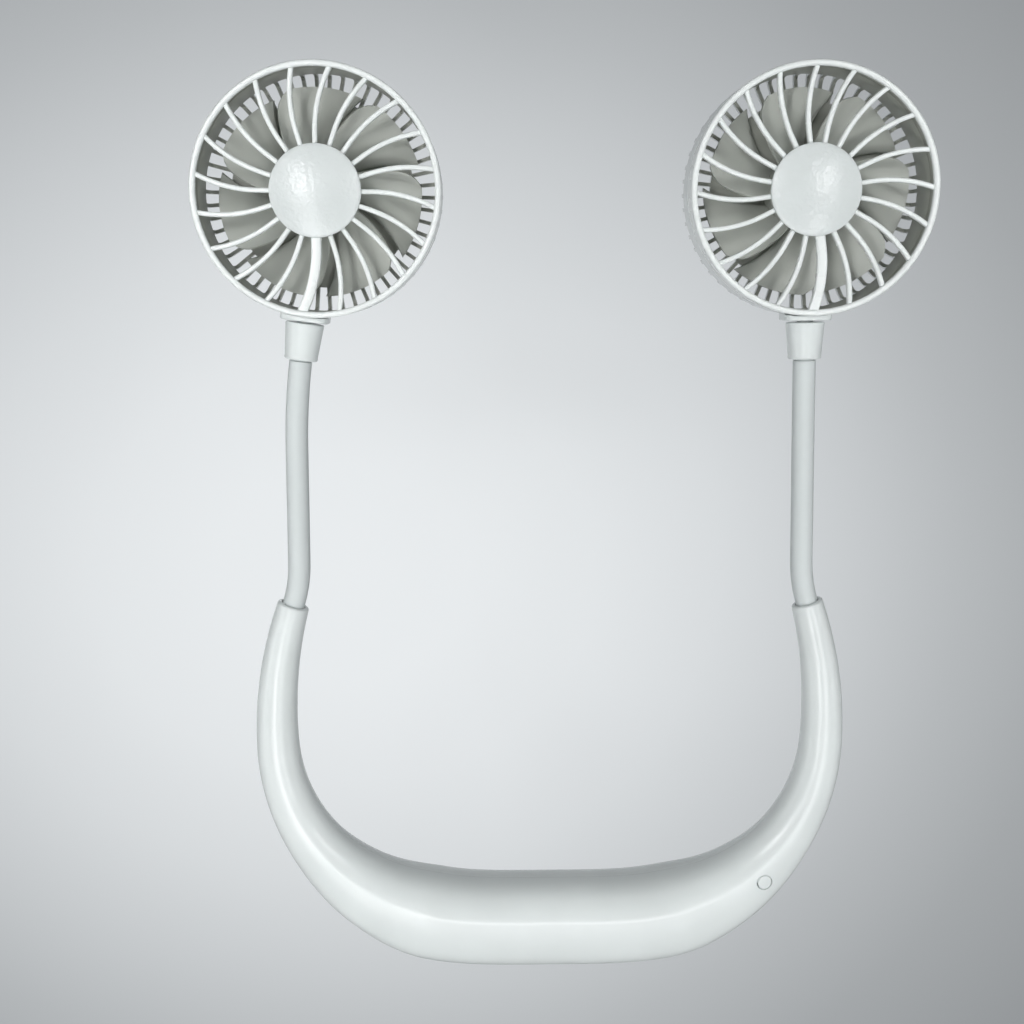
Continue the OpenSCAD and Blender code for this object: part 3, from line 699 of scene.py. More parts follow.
class Finishes:
    """The material of every look, made once."""

    def __init__(self) -> None:
        """Make the materials."""
        self.made = {look: look.value.make(look.name.lower()) for look in Look}

    def dress(self, obj: bpy.types.Object, look: Look) -> None:
        """Give an object a look, and the painted shade to its marked faces.

        Args:
            obj: Object to dress.
            look: Its look.
        """
        marks = [f.material_index for f in obj.data.polygons]
        obj.data.materials.clear()
        obj.data.materials.append(self.made[look])
        if any(marks):
            obj.data.materials.append(self.made[Look.SHADE])
            obj.data.polygons.foreach_set("material_index", marks)

    def dress_node(self, name: str, look: Look) -> None:
        """Give a carried-over CAD node a look.

        Args:
            name: Node.
            look: Its look.
        """
        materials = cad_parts[name].data.materials
        if not materials:
            materials.append(self.made[look])
        for i in range(len(materials)):
            materials[i] = self.made[look]


def mount_piece(obj: bpy.types.Object, body: str, node: str) -> None:
    """Let a piece stand for a CAD node and ride on the node's body.

    Args:
        obj: The piece.
        body: Body that it moves with.
        node: Node that it replaces.
    """
    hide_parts(node)
    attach(obj, body)
    LOG.info("%s rides on %s", obj.name, body)


# Band


@dataclass(frozen=True)
class Taper:
    """Smooth curve through a table of shares, level where the table is level."""

    places: tuple[float, ...] = (0, 0.22, 0.38, 0.52, 0.66, 0.84, 1)
    shares: tuple[float, ...] = (1, 1, 0.71, 0.4, 0.235, 0.13, 0)

    def _rise(self, i: int) -> float:
        """Slope of one interval of the table.

        Args:
            i: Number of the interval.

        Returns:
            Its slope.
        """
        return (self.shares[i + 1] - self.shares[i]) / (self.places[i + 1] - self.places[i])

    def _slope(self, i: int) -> float:
        """Slope at one entry of the table.

        Args:
            i: Number of the entry.

        Returns:
            The curve's slope there.
        """
        if i in (0, len(self.places) - 1):
            return self._rise(min(i, len(self.places) - 2))
        p, q = self._rise(i - 1), self._rise(i)
        return 0.0 if p * q <= 0 else 2 * p * q / (p + q)

    def at(self, t: float) -> float:
        """Read the curve.

        Args:
            t: Share of the half length.

        Returns:
            Share of the taper that is left there.
        """
        t = min(1.0, max(0.0, t))
        i = max(k for k in range(len(self.places) - 1) if t >= self.places[k])
        d = self.places[i + 1] - self.places[i]
        q, a, b = (t - self.places[i]) / d, self.shares[i], self.shares[i + 1]
        m, n = self._slope(i) * d, self._slope(i + 1) * d
        return a + m * q + (3 * (b - a) - 2 * m - n) * q * q + (m + n - 2 * (b - a)) * q ** 3


@dataclass
class Band:
    """The neckband: two shells along a centreline of a straight, two corners and two arms."""

    finish: Finishes
    # Outside of the middle, and the centreline's straight, corners and arms
    width: float = 29.2
    height: float = 25.0
    straight_half: float = 25.5
    corner_r: float = 65.5
    corner_turn: float = 87.5
    arm_r: float = 137.0
    arm_turn: float = 20.5
    # Walls, and the mouths that hold the stems
    wall: float = 1.8
    mouth_wall: float = 1.3
    mouth_r: float = 3.95
    stem_z: float = 11.5
    # Seam of the shells, and their round edges
    seam_gap: float = 0.1
    seam_step: float = 0.25
    seam_round: float = 0.3
    neck_round: float = 0.06
    rim_round: float = 0.8
    # Section: where its crest lies, the powers of its quarters, and the flat back
    crest_share: float = 0.12
    crest_inner: float = 2.0
    crest_outer: float = 3.6
    back_inner: float = 2.7
    back_outer: float = 3.0
    back_cut: float = 0.5
    # Button and its hole
    button_share: float = 0.43
    button_across_share: float = -0.08
    button_r: float = 2.35
    button_gap: float = 0.2
    button_edge: float = 0.22
    button_sink: float = 0.03
    button_t: float = 3.6
    button_foot_r: float = 1.2
    hole_lip: float = 0.25
    # Port of the charging socket, under the button
    port_half: Point2 = (4.7, 1.85)
    port_round: float = 1.6
    port_across: float = -7.6
    port_z: float = 6.32
    # Wells of the screws
    screw_shares: tuple[float, ...] = (-0.64, -0.29, 0.29, 0.64)
    screw_across_share: float = 0.05
    screw_head_r: float = 2.1
    screw_grip: float = 4.4
    # Length over which a corner's bend grows, and how far the middle moves to the neck
    ease: float = 40.0
    inset: float = 0.5
    # Steps of each quarter of the section, and the angle of sharp edges
    face_steps: int = 16
    cavity_steps: int = 6
    sharp: float = 38.0
    taper: Taper = Taper()
    # Worked out from the others
    corner_len: float = field(init=False)
    arm_len: float = field(init=False)
    corner_end: float = field(init=False)
    half: float = field(init=False)
    end_d: float = field(init=False)
    walk: list[Station] = field(init=False)
    button_s: float = field(init=False)
    button_seat: Matrix = field(init=False)

    def __post_init__(self) -> None:
        """Work out the lengths that follow, and fit the eased corner to the arm."""
        self.corner_len = math.radians(self.corner_turn) * self.corner_r
        self.arm_len = math.radians(self.arm_turn) * self.arm_r
        self.corner_end = self.straight_half + self.corner_len
        self.half = self.corner_end + self.arm_len
        self.end_d = 2 * (self.mouth_r + self.mouth_wall)
        goal = self.place(self.corner_end)
        turn = math.radians(self.corner_turn)
        start, radius = self.straight_half - self.ease / 2, self.corner_r
        passes = 6
        for _ in range(passes):
            self.walk = self.eased_corner(start, radius)
            grow = (goal[1] - self.walk[-1][1]) / (1 - math.cos(turn))
            start += goal[0] - self.walk[-1][0] - grow * math.sin(turn)
            radius += grow
        self.button_s = self.half * self.button_share
        across = self.button_across_share * self.sizes(self.button_s)[1]
        self.button_seat = self.at(self.button_s, across, 0)

    def eased_corner(self, start: float, radius: float, steps: int = 400) -> list[Station]:
        """Walk from the middle round a corner whose bend grows evenly at first.

        Args:
            start: Where the bend starts.
            radius: Radius once the bend has grown.
            steps: Steps of the walk.

        Returns:
            x, y and heading in degrees at even steps.
        """
        length = start + self.ease / 2 + radius * math.radians(self.corner_turn)
        x, y = 0.0, self.inset
        out: list[Station] = []
        for i in range(steps + 1):
            q = max(0.0, length * i / steps - start)
            grown = max(0.0, q - self.ease)
            a = ((q - grown) ** 2 / 2 / self.ease + grown) / radius
            if out:
                mid = (a + math.radians(out[-1][2])) / 2
                x += length / steps * math.cos(mid)
                y += length / steps * math.sin(mid)
            out.append((x, y, math.degrees(a)))
        return out

    def course(self, s: float) -> Station:
        """Place on the shells' centreline, whose corners are eased.

        Args:
            s: Length from the middle, negative on the left.

        Returns:
            x, y and heading in degrees.
        """
        u = abs(s)
        if u >= self.corner_end:
            return self.place(s)
        t = u / self.corner_end * (len(self.walk) - 1)
        i = int(t)
        x, y, a = (lerp(p, q, t - i) for p, q in zip(self.walk[i], self.walk[i + 1]))
        return (x, y, a) if s >= 0 else (-x, y, -a)

    def under(self, spot: Vector, s: float) -> tuple[float, float]:
        """Find the shells' own place of a point of the frame.

        Args:
            spot: The point.
            s: Length from the middle near it.

        Returns:
            Length from the middle, and offset towards the neck.
        """
        across, passes = 0.0, 5
        for _ in range(passes):
            x, y, a = self.course(s)
            cos, sin = math.cos(math.radians(a)), math.sin(math.radians(a))
            s += (spot.x - x) * cos + (spot.y - y) * sin
            across = (spot.y - y) * cos - (spot.x - x) * sin
        return s, across

    def place(self, s: float) -> Station:
        """Place on the solids' centreline.

        Args:
            s: Length from the middle, negative on the left.

        Returns:
            x, y and heading in degrees.
        """
        u = abs(s)
        if u <= self.straight_half:
            x, y, a = u, 0.0, 0.0
        else:
            t = min(u - self.straight_half, self.corner_len)
            x, y, a = arc_step((self.straight_half, 0), 0, t, t / self.corner_len * self.corner_turn)
            rest = u - self.straight_half - t
            if rest > 0:
                x, y, a = arc_step((x, y), a, rest, rest / self.arm_len * self.arm_turn)
        return (x, y, a) if s >= 0 else (-x, y, -a)

    def sizes(self, s: float) -> tuple[float, float, float, float]:
        """Sizes of the section.

        Args:
            s: Length from the middle.

        Returns:
            Share of the taper, width, height and height of the seam.
        """
        k = self.taper.at(abs(s) / self.half)
        h = lerp(self.end_d, self.height, k)
        return k, lerp(self.end_d, self.width, k), h, (self.stem_z - self.end_d / 2) * (1 - k) + h / 2

    def point(self, s: float, across: float, z: float) -> Point3:
        """Point of the shells in the frame.

        Args:
            s: Length from the middle.
            across: Offset towards the neck.
            z: Height.

        Returns:
            The point.
        """
        x, y, a = self.course(s)
        a = math.radians(a)
        return x - across * math.sin(a), y + across * math.cos(a), z

    def section(self, t: float, k: float, w: float, h: float) -> Point2:
        """Point of the section's outline.

        Args:
            t: Angle in degrees, 0 at the neck side and 90 at the crest.
            k: Share of the taper.
            w: Width.
            h: Height.

        Returns:
            Offset towards the neck, and height over the seam.
        """
        c, d = math.cos(math.radians(t)), math.sin(math.radians(t))
        c, d = (0.0 if abs(c) < 1e-12 else c), (0.0 if abs(d) < 1e-12 else d)
        if d >= 0:
            power = self.crest_inner if c >= 0 else self.crest_outer
        else:
            power = self.back_inner if c >= 0 else self.back_outer
        n = lerp(2, power, k)
        m = self.crest_share * w * k
        sign = 1 if c > 0 else -1 if c < 0 else 0
        u = m + (w / 2 - sign * m) * sign * abs(c) ** (2 / n)
        up = math.copysign(abs(d) ** (2 / n), d)
        return u, max(-h / 2, (h / 2 + (self.back_cut * k if d < 0 else 0)) * up)

    def face_z(self, s: float, across: float) -> float:
        """Height of the outer face.

        Args:
            s: Length from the middle.
            across: Offset towards the neck.

        Returns:
            The height there.
        """
        k, w, h, seam = self.sizes(s)
        m = self.crest_share * w * k
        inner = across >= m
        n = lerp(2, self.crest_inner if inner else self.crest_outer, k)
        u = min(1.0, abs(across - m) / (w / 2 + (-m if inner else m)))
        return seam + h / 2 * (1 - u ** n) ** (1 / n)

    def stations(self) -> list[float]:
        """Stations of the sweep, closer together at the round rims.

        Returns:
            Lengths from the middle.
        """
        straight, corner, arm = 6, 44, 26
        half = [self.straight_half * i / straight for i in range(1, straight)]
        half += [self.straight_half + self.corner_len * i / corner for i in range(corner)]
        half += [self.half - self.arm_len * (1 - i / arm) for i in range(arm)]
        half += [self.half - self.rim_round * (1 - math.sin(math.radians(a))) for a in range(0, 91, 15)]
        return [-s for s in reversed(half)] + [0.0] + half

    def loop(self, s: float, start: float, end: float, step_in: float, lift: float) -> list[Point3]:
        """One shell's outline at a station, out along its face and back along its cavity.

        Args:
            s: Length from the middle.
            start: First angle of the section.
            end: Last angle.
            step_in: How far the face stands back at the seam.
            lift: How far the shell's edge stays off the seam.

        Returns:
            Points of the outline.
        """
        k, w, h, seam = self.sizes(s)
        q = max(0.0, abs(s) - self.half + self.rim_round)
        g = self.rim_round - math.sqrt(max(0.0, self.rim_round ** 2 - q * q))
        t = lerp(self.mouth_wall, self.wall, k)
        up = 1 if start == 0 else -1
        outer = [self.section(a, k, w - 2 * (g + step_in), h - 2 * g)
                 for a in eased(start, end, self.face_steps)]
        inner = [self.section(a, k, w - 2 * t, h - 2 * t)
                 for a in reversed(eased(start, end, self.cavity_steps))]
        out = []
        for i, (u, z) in enumerate(outer + inner):
            r = self.seam_round if u < 0 else self.neck_round
            if i < len(outer):
                u += step_in * max(0.0, u / (w / 2))
            z = up * max(abs(z), lift)
            if i < len(outer) and abs(z) < r + lift:
                near = 1 - (abs(z) - lift) / r
                u -= math.copysign(r * (1 - math.sqrt(max(0.0, 1 - near * near))), u)
            out.append(self.point(s, u, seam + z))
        return out

    def shell(self, name: str, start: float, end: float, step_in: float, lift: float) -> bpy.types.Object:
        """Skin one shell.

        Args:
            name: Name of the object.
            start: First angle of the section.
            end: Last angle.
            step_in: How far the face stands back at the seam.
            lift: How far the shell's edge stays off the seam.

        Returns:
            The object.
        """
        rings = [self.loop(s, start, end, step_in, lift) for s in self.stations()]
        n = len(rings[0])
        faces: list[Sequence[int]] = list(Maker.grid_faces(len(rings), n))
        outer = len(eased(start, end, self.face_steps))
        share = (n - outer - 1) / (outer - 1)
        for base in (0, (len(rings) - 1) * n):
            for i in range(outer - 1):
                near, far = (base + n - 1 - round(k * share) for k in (i, i + 1))
                strip = (base + i, base + i + 1, far, near)
                faces.append(strip[:3] if near == far else strip)
        return Maker.mesh(name, [p for r in rings for p in r], faces, self.sharp)

    def at(self, s: float, across: float, z: float) -> Matrix:
        """Frame on the band, with X along it and Y towards the neck.

        Args:
            s: Length from the middle.
            across: Offset towards the neck.
            z: Height.

        Returns:
            The matrix, in millimetres.
        """
        x, y, a = self.place(s)
        turn = Matrix.Rotation(math.radians(a), 4, "Z")
        return Matrix.Translation((x, y, z)) @ turn @ Matrix.Translation((0, across, 0))

    def front_shell(self) -> bpy.types.Object:
        """Front shell, with the button's hole and its eased lip.

        Returns:
            The object.
        """
        shell = self.shell("front_shell", 0, 180, self.seam_step, self.seam_gap / 2)
        top = self.face_z(*self.under(self.button_seat.translation, self.button_s))
        deep, clear = 6, 3
        low, high = top - deep, top + clear
        hole_r = self.button_r + self.button_gap
        lip_r = hole_r + self.hole_lip
        hole = [(0.0, low), (hole_r, low), (hole_r, top - 0.35), (lip_r, top + 0.3), (lip_r, high),
                (0.0, high)]
        Maker.cut(shell, Maker.lathe("hole", hole, 64, place=self.button_seat), self.sharp)
        return shell

    def rear_shell(self) -> bpy.types.Object:
        """Rear shell, with the screws' wells and the charging socket's port.

        Returns:
            The object.
        """
        shell = self.shell("rear_shell", 360, 180, 0.0, 0.0)
        under = -6
        for share in self.screw_shares:
            s = share * self.half
            k, w, _, seam = self.sizes(s)
            top = seam - self.screw_grip
            well = [(0.0, under), (self.screw_head_r, under), (self.screw_head_r, top), (0.0, top)]
            place = self.at(s, self.screw_across_share * w * k, 0)
            Maker.cut(shell, Maker.lathe("well", well, 32, place=place), self.sharp)
        place = self.at(self.button_s, self.port_across, self.port_z)
        turn = Matrix.Rotation(math.radians(90), 4, "X")
        port = rounded_box(*self.port_half, self.port_round, 6)
        Maker.cut(shell, Maker.prism("port", port, 10.0, place @ turn), self.sharp)
        return shell

    def button(self) -> bpy.types.Object:
        """Button, whose top follows the shell's face.

        Returns:
            The object.
        """
        r, edge, steps = self.button_r, self.button_edge, 48
        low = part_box("power_button")[0].z / MM
        rings: list[list[Point3]] = []
        for q, drop in ((0.02, 0.0), (r * 0.4, 0.0), (r * 0.75, 0.0), (r - edge, 0.0),
                        (r - edge * 0.3, -edge * 0.3), (r, -edge), (r, -self.button_t)):
            ring = []
            for x, y in circle(q, steps):
                spot = self.button_seat @ Vector((x, y, 0))
                top = self.face_z(*self.under(spot, self.button_s))
                ring.append((x, y, top + drop - self.button_sink))
            rings.append(ring)
        for z in (rings[-1][0][2], low):
            rings.append([(x, y, z) for x, y in circle(self.button_foot_r, steps)])
        return Maker.loft("button_cap", rings, 50, self.button_seat)

    def build(self) -> None:
        """Make both shells and the button, and dress the pieces inside the band."""
        for make, body, node in ((self.front_shell, "band", "band_front_shell"),
                                 (self.rear_shell, "band", "band_rear_shell"),
                                 (self.button, "button", "power_button")):
            piece = make()
            self.finish.dress(piece, Look.SHELL)
            mount_piece(piece, body, node)
        for node, look in (("band_screws", Look.SCREW), ("battery_cell", Look.CELL),
                           ("circuit_board", Look.BOARD), ("tact_switch", Look.SWITCH),
                           ("usb_socket", Look.SOCKET), ("battery_leads", Look.LEAD),
                           ("motor_leads", Look.LEAD)):
            self.finish.dress_node(node, look)


# Stems


@dataclass
class Stem:
    """One bendable stem: its sleeve in three lengths, and the collar under the head."""

    band: Band
    finish: Finishes
    side: Side
    mid_lean: float
    head_lean: float
    # Sleeve
    sleeve_r: float = 3.6
    bore_r: float = 2.55
    groove_depth: float = 0.45
    foot_drop: float = 0.2
    # Lengths of the centreline, and how deep the sleeve sits in band and collar
    low_bend: float = 14.0
    straight: float = 38.0
    top_bend: float = 28.0
    seat: float = 5.0
    collar_seat: float = 4.0
    # Collar
    collar_len: float = 11.6
    collar_r: float = 5.2
    collar_top_r: float = 6.1
    collar_gap: float = 0.1
    collar_flare: float = 0.35
    lid_r: float = 2.65
    lid_t: float = 3.0
    # Where the core bends, how far the sleeve bends with it, and where its lengths meet
    pivots: tuple[float, float, float] = (5.04, 33.0, 66.0)
    bend_reach: tuple[float, float, float] = (5.0, 10.0, 10.0)
    splits: tuple[float, float] = (19.0, 49.5)

    @property
    def length(self) -> float:
        """Length from the band's mouth to the collar."""
        return self.low_bend + self.straight + self.top_bend

    def place(self, s: float) -> Station:
        """Place on the stem's centreline.

        Args:
            s: Length from the band's mouth.

        Returns:
            x, y and the turn of a frame whose Y runs along the stem.
        """
        x, y, a = self.band.place(self.band.half)
        legs = ((self.low_bend, 90 + self.mid_lean - a), (self.straight, 0.0),
                (self.top_bend, self.head_lean - self.mid_lean), (math.inf, 0.0))
        if s <= 0:
            x, y, a = arc_step((x, y), a, s, 0)
        for length, turn in legs:
            if s <= 0:
                break
            t = min(s, length)
            x, y, a = arc_step((x, y), a, t, turn * (t / length))
            s -= t
        return self.side * x, y, self.side * (a - 90)

    def frame_at(self, s: float) -> Matrix:
        """Frame on the stem, with Y along it.

        Args:
            s: Length from the band's mouth.

        Returns:
            The matrix, in millimetres.
        """
        x, y, turn = self.place(s)
        return Matrix.Translation((x, y, self.band.stem_z)) @ Matrix.Rotation(math.radians(turn), 4, "Z")

    def tube(self, name: str, low: float, high: float) -> bpy.types.Object:
        """One length of the sleeve, thinner at its foot and in the groove under the collar.

        Args:
            name: Name of the object.
            low: Where it starts.
            high: Where it ends.

        Returns:
            The object.
        """
        around, pitch, clear, edge = 40, 1.2, 0.5, 0.1
        steps = max(2, round((high - low) / pitch))
        places = [lerp(low, high, i / steps) for i in range(steps + 1)]
        groove = self.length - clear
        if high > self.length:
            edges = [groove - edge, groove + edge]
            places = sorted([q for q in places if abs(q - groove) > clear] + edges)

        def drop(s: float) -> float:
            """How much thinner the sleeve is at a place.

            Args:
                s: Length from the band's mouth.

            Returns:
                The difference in radius.
            """
            return self.groove_depth if s > groove else self.foot_drop if s == low < 0 else 0.0

        skin = [(s, self.sleeve_r - drop(s)) for s in places]
        bore = [(s, self.bore_r) for s in reversed(places)]
        rows = [[tuple(self.frame_at(s) @ Vector((x, 0, z))) for x, z in circle(r, around)]
                for s, r in skin + bore]
        return Maker.mesh(name, [p for row in rows for p in row],
                          Maker.grid_faces(len(rows), around, True), 60)

    def collar(self) -> bpy.types.Object:
        """Collar under the head, open to the sleeve and lidded at its top.

        Returns:
            The object.
        """
        bore = self.sleeve_r + self.collar_gap
        mouth = bore + self.collar_flare
        r, end, lid = self.collar_r, self.collar_len, self.collar_len - self.lid_t
        profile = fillet([
            (bore, 0.9, 0), (mouth, 0.8, 0), (mouth, 0, 0.1), (r - 0.15, 0, 0.3), (r + 0.08, 0.5, 0.25),
            (r + 0.02, 1.1, 0.3), (self.collar_top_r, end, 0.45), (self.lid_r, end, 0.1),
            (self.lid_r, lid, 0), (bore, lid, 0)])
        turn = self.frame_at(self.length) @ Matrix.Rotation(math.radians(-90), 4, "X")
        return Maker.lathe(f"collar_{self.side.tag}_cone", profile, 96, 40, turn)

    def build(self) -> None:
        """Make the sleeve's lengths and the collar, and dress the core's pieces."""
        tag = self.side.tag
        cuts = (-self.seat, *self.splits, self.length + self.collar_seat)
        bodies = ("band", *(f"neck_{level}_{tag}" for level in ("lower", "mid", "upper")))
        for i, (pivot, reach) in enumerate(zip(self.pivots, self.bend_reach)):
            piece = self.tube(f"sleeve_{tag}_{i + 1}", cuts[i], cuts[i + 1])
            self.finish.dress(piece, Look.SLEEVE)
            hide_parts(f"sleeve_{tag}")
            start, end = (tuple(self.frame_at(pivot + d).translation * MM) for d in (-reach, reach))
            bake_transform(piece)
            LOG.info("%s bends between %s and %s", piece.name, bodies[i], bodies[i + 1])
        collar = self.collar()
        self.finish.dress(collar, Look.SHELL)
        mount_piece(collar, bodies[-1], f"collar_{tag}")
        for node, look in (("stem_ferrule", Look.FITTING), ("core_stub", Look.CORE),
                           ("core_link_1", Look.CORE), ("core_link_2", Look.CORE),
                           ("core_link_3", Look.CORE), ("collar_ferrule", Look.FITTING)):
            self.finish.dress_node(f"{node}_{tag}", look)


# Heads


@dataclass
class HeadPart(ABC):
    """A piece of a head, made about the head's axis from its back upwards."""

    tag: str
    seat: Matrix
    stem_z: float
    # Outside, wall of the rim, and the height at which cover and grille meet
    radius: float = 38.0
    depth: float = 23.0
    rim_wall: float = 1.5
    split: float = 15.0

    @abstractmethod
    def make(self) -> bpy.types.Object:
        """Make the piece.

        Returns:
            The object.
        """

    def assemble(self, kind: str, *parts: bpy.types.Object) -> bpy.types.Object:
        """Join parts made about the head's axis, and put them in place.

        Args:
            kind: Name of the piece, without its side.
            *parts: Its parts.

        Returns:
            The piece.
        """
        whole = Maker.join(f"{kind}_{self.tag}", parts)
        place = self.seat.copy()
        place.translation *= MM
        whole.data.transform(place)
        return whole


@dataclass
class RearCover(HeadPart):
    """Rear cover: a dish with a ring of slots, the ring behind its joint, foot and spigot."""

    # Wall, floor, the rounds at its rear corner and the dish in its back
    wall: float = 1.9
    floor: float = 1.8
    corner: float = 3.2
    corner_in: float = 1.4
    recess: float = 0.6
    recess_r: float = 23.6
    # Ring of slots
    slots: int = 54
    bar: float = 1.15
    bar_share: float = 0.45
    slot_in: float = 28.9
    slot_h: float = 6.0
    # Ring behind the joint
    ring_gap: float = 0.1
    ring_t: float = 0.34
    ring_half: float = 3.0
    # Foot and spigot
    foot_r: float = 7.5
    foot_t: float = 1.6
    foot_h: float = 13.0
    foot_round: float = 3.2
    foot_sink: float = 1.2
    foot_gap: float = 0.35
    spigot_r: float = 2.6
    spigot_neck_r: float = 2.05
    spigot_neck: Point2 = (43.2, 43.9)
    spigot_end: float = 44.8

    def profile(self) -> tuple[list[Point2], list[Point2]]:
        """Outer and inner outlines of the rear cover, from its middle to its rim.

        The rows at radius 8, 16 and 32 and at height 4.6 only divide long faces.

        Returns:
            Rows of radius and height, paired one to one.
        """
        r, wall, dish = self.radius, self.radius - self.wall, self.recess
        outer = [(0.02, dish), (8, dish), (16, dish), (self.recess_r - 0.3, dish), (self.recess_r, 0.25),
                 (self.recess_r + 0.25, 0.0), (self.slot_in - 1, 0.0), (self.slot_in, 0.0), (32.0, 0.0)]
        inner = [(q, self.floor) for q, _ in outer]
        outer += self.corner_arc(r, 0.0, self.corner)
        inner += self.corner_arc(wall, self.floor, self.corner_in)
        levels = (4.6, self.slot_h, self.slot_h + 1, self.split - 0.3)
        outer += [*((r, z) for z in levels), (r - 0.3, self.split)]
        inner += [*((wall, z) for z in levels), (wall, self.split)]
        return outer, inner

    @staticmethod
    def corner_arc(r: float, low: float, bend: float) -> list[Point2]:
        """Round between the cover's floor and its side.

        Args:
            r: Radius of the side.
            low: Height of the floor.
            bend: Radius of the round.

        Returns:
            Radius and height of its points.
        """
        turns = [math.radians(a) for a in range(0, 91, 10)]
        return [(r - bend + bend * math.sin(a), low + bend - bend * math.cos(a)) for a in turns]

    def slotted_shell(self) -> bpy.types.Object:
        """The cover's dish and side with the ring of slots, with painted shade on all its inner faces.

        Returns:
            The object.
        """
        tables = self.profile()
        rows = len(tables[0])
        first = tables[0].index((self.slot_in, 0.0))
        last = tables[0].index((self.radius, self.slot_h))
        cols = 5
        total = self.slots * cols
        half = math.pi / self.slots
        verts: list[Point3] = []
        for r, z in tables[0] + tables[1]:
            bar = math.asin(self.bar / 2 / r) if r > self.slot_in - 3 else half * self.bar_share
            for k in range(self.slots):
                for q in (-bar, bar, (half + bar) / 2, half, (3 * half - bar) / 2):
                    a = 2 * half * k + q
                    verts.append((r * math.cos(a), r * math.sin(a), z))

        def face(*corners: tuple[int, int, int]) -> tuple[int, ...]:
            """Face through vertices.

            Args:
                *corners: Layer, 0 outside and 1 inside, row and place round the axis of each.

            Returns:
                Their numbers.
            """
            return tuple((layer * rows + row) * total + col % total for layer, row, col in corners)

        faces: list[Sequence[int]] = []
        for row in range(rows - 1):
            for c in range(total):
                if first <= row < last and c % cols > 0:
                    continue
                faces += [face((i, row, c), (i, row, c + 1), (i, row + 1, c + 1), (i, row + 1, c))
                          for i in (0, 1)]
        for k in range(self.slots):
            sides = (k * cols + 1, (k + 1) * cols)
            faces += [face((0, row, c), (0, row + 1, c), (1, row + 1, c), (1, row, c))
                      for row in range(first, last) for c in sides]
            faces += [face((0, row, c), (0, row, c + 1), (1, row, c + 1), (1, row, c))
                      for c in range(*sides) for row in (first, last)]
        end = rows - 1
        faces += [face((0, end, c), (0, end, c + 1), (1, end, c + 1), (1, end, c)) for c in range(total)]
        faces += [face(*((i, 0, c) for c in range(total))) for i in (0, 1)]
        shell = Maker.mesh("cover", verts, faces, 40)
        # Faces of the inner layer get the painted shade, standing in for the shade inside the head
        for polygon in shell.data.polygons:
            polygon.material_index = int(min(polygon.vertices) >= rows * total)
        return shell

    def joint_ring(self) -> bpy.types.Object:
        """Thin ring that backs the joint of cover and grille.

        Returns:
            The object.
        """
        r, z, half = self.radius - self.rim_wall - self.ring_gap, self.split, self.ring_half
        profile = [(r - self.ring_t, z - 0.5), (r, z - half), (r, z + half), (r - 0.05, z + half),
                   (r - self.ring_t, z + 0.03)]
        ring = Maker.lathe("tongue", profile, 144, 40)
        # The whole ring gets the painted shade, as it sits in the shade inside the rim
        Maker.mark(ring, lambda centre, normal: True)
        return ring

    def foot(self) -> bpy.types.Object:
        """Foot between the cover's side and the collar.

        Returns:
            The object.
        """
        plate = rounded_box(self.foot_r, self.foot_h / 2, self.foot_round, 8)
        end, side = -self.radius - self.foot_t, -self.radius
        rings = []
        for y, inset in ((end, 0.35), (end + 0.1, 0.14), (end + 0.35, 0.0), (side + 0.7, 0.0),
                         (side + 1.7, 0.0)):
            w = 1 - inset / self.foot_r
            h = 1 - inset / (self.foot_h / 2)
            ring = []
            for x, z in plate:
                reach = min(y, -self.shelf(x, z)) if y > side else y
                ring.append((x * w, reach, z * h + self.stem_z))
            rings.append(ring)
        return Maker.loft("foot", rings, 40)

    def shelf(self, x: float, z: float) -> float:
        """How near to the axis the foot may reach beside the cover and the rim.

        Args:
            x: Place across the foot.
            z: Height over the stem's axis.

        Returns:
            Distance from the head's axis, along Y.
        """
        by_cover = z + self.stem_z < self.split - 0.05
        near = self.radius - self.foot_sink if by_cover else self.radius + self.foot_gap
        return math.sqrt(near * near - x * x)

    def spigot(self) -> bpy.types.Object:
        """Spigot that turns in the collar, with the neck for its clip.

        Returns:
            The object.
        """
        r, neck_r = self.spigot_r, self.spigot_neck_r
        low, high = self.spigot_neck
        places = ((self.radius + self.foot_t - 1, r), (low, r), (low, neck_r), (high, neck_r), (high, r),
                  (self.spigot_end - 0.2, r), (self.spigot_end, r - 0.2))
        rings = [[(x, -y, z + self.stem_z) for x, z in circle(q, 40)] for y, q in places]
        return Maker.loft("spigot", rings, 40)

    def make(self) -> bpy.types.Object:
        """Make the rear cover.

        Returns:
            The object.
        """
        return self.assemble("cover", self.slotted_shell(), self.joint_ring(), self.foot(), self.spigot())


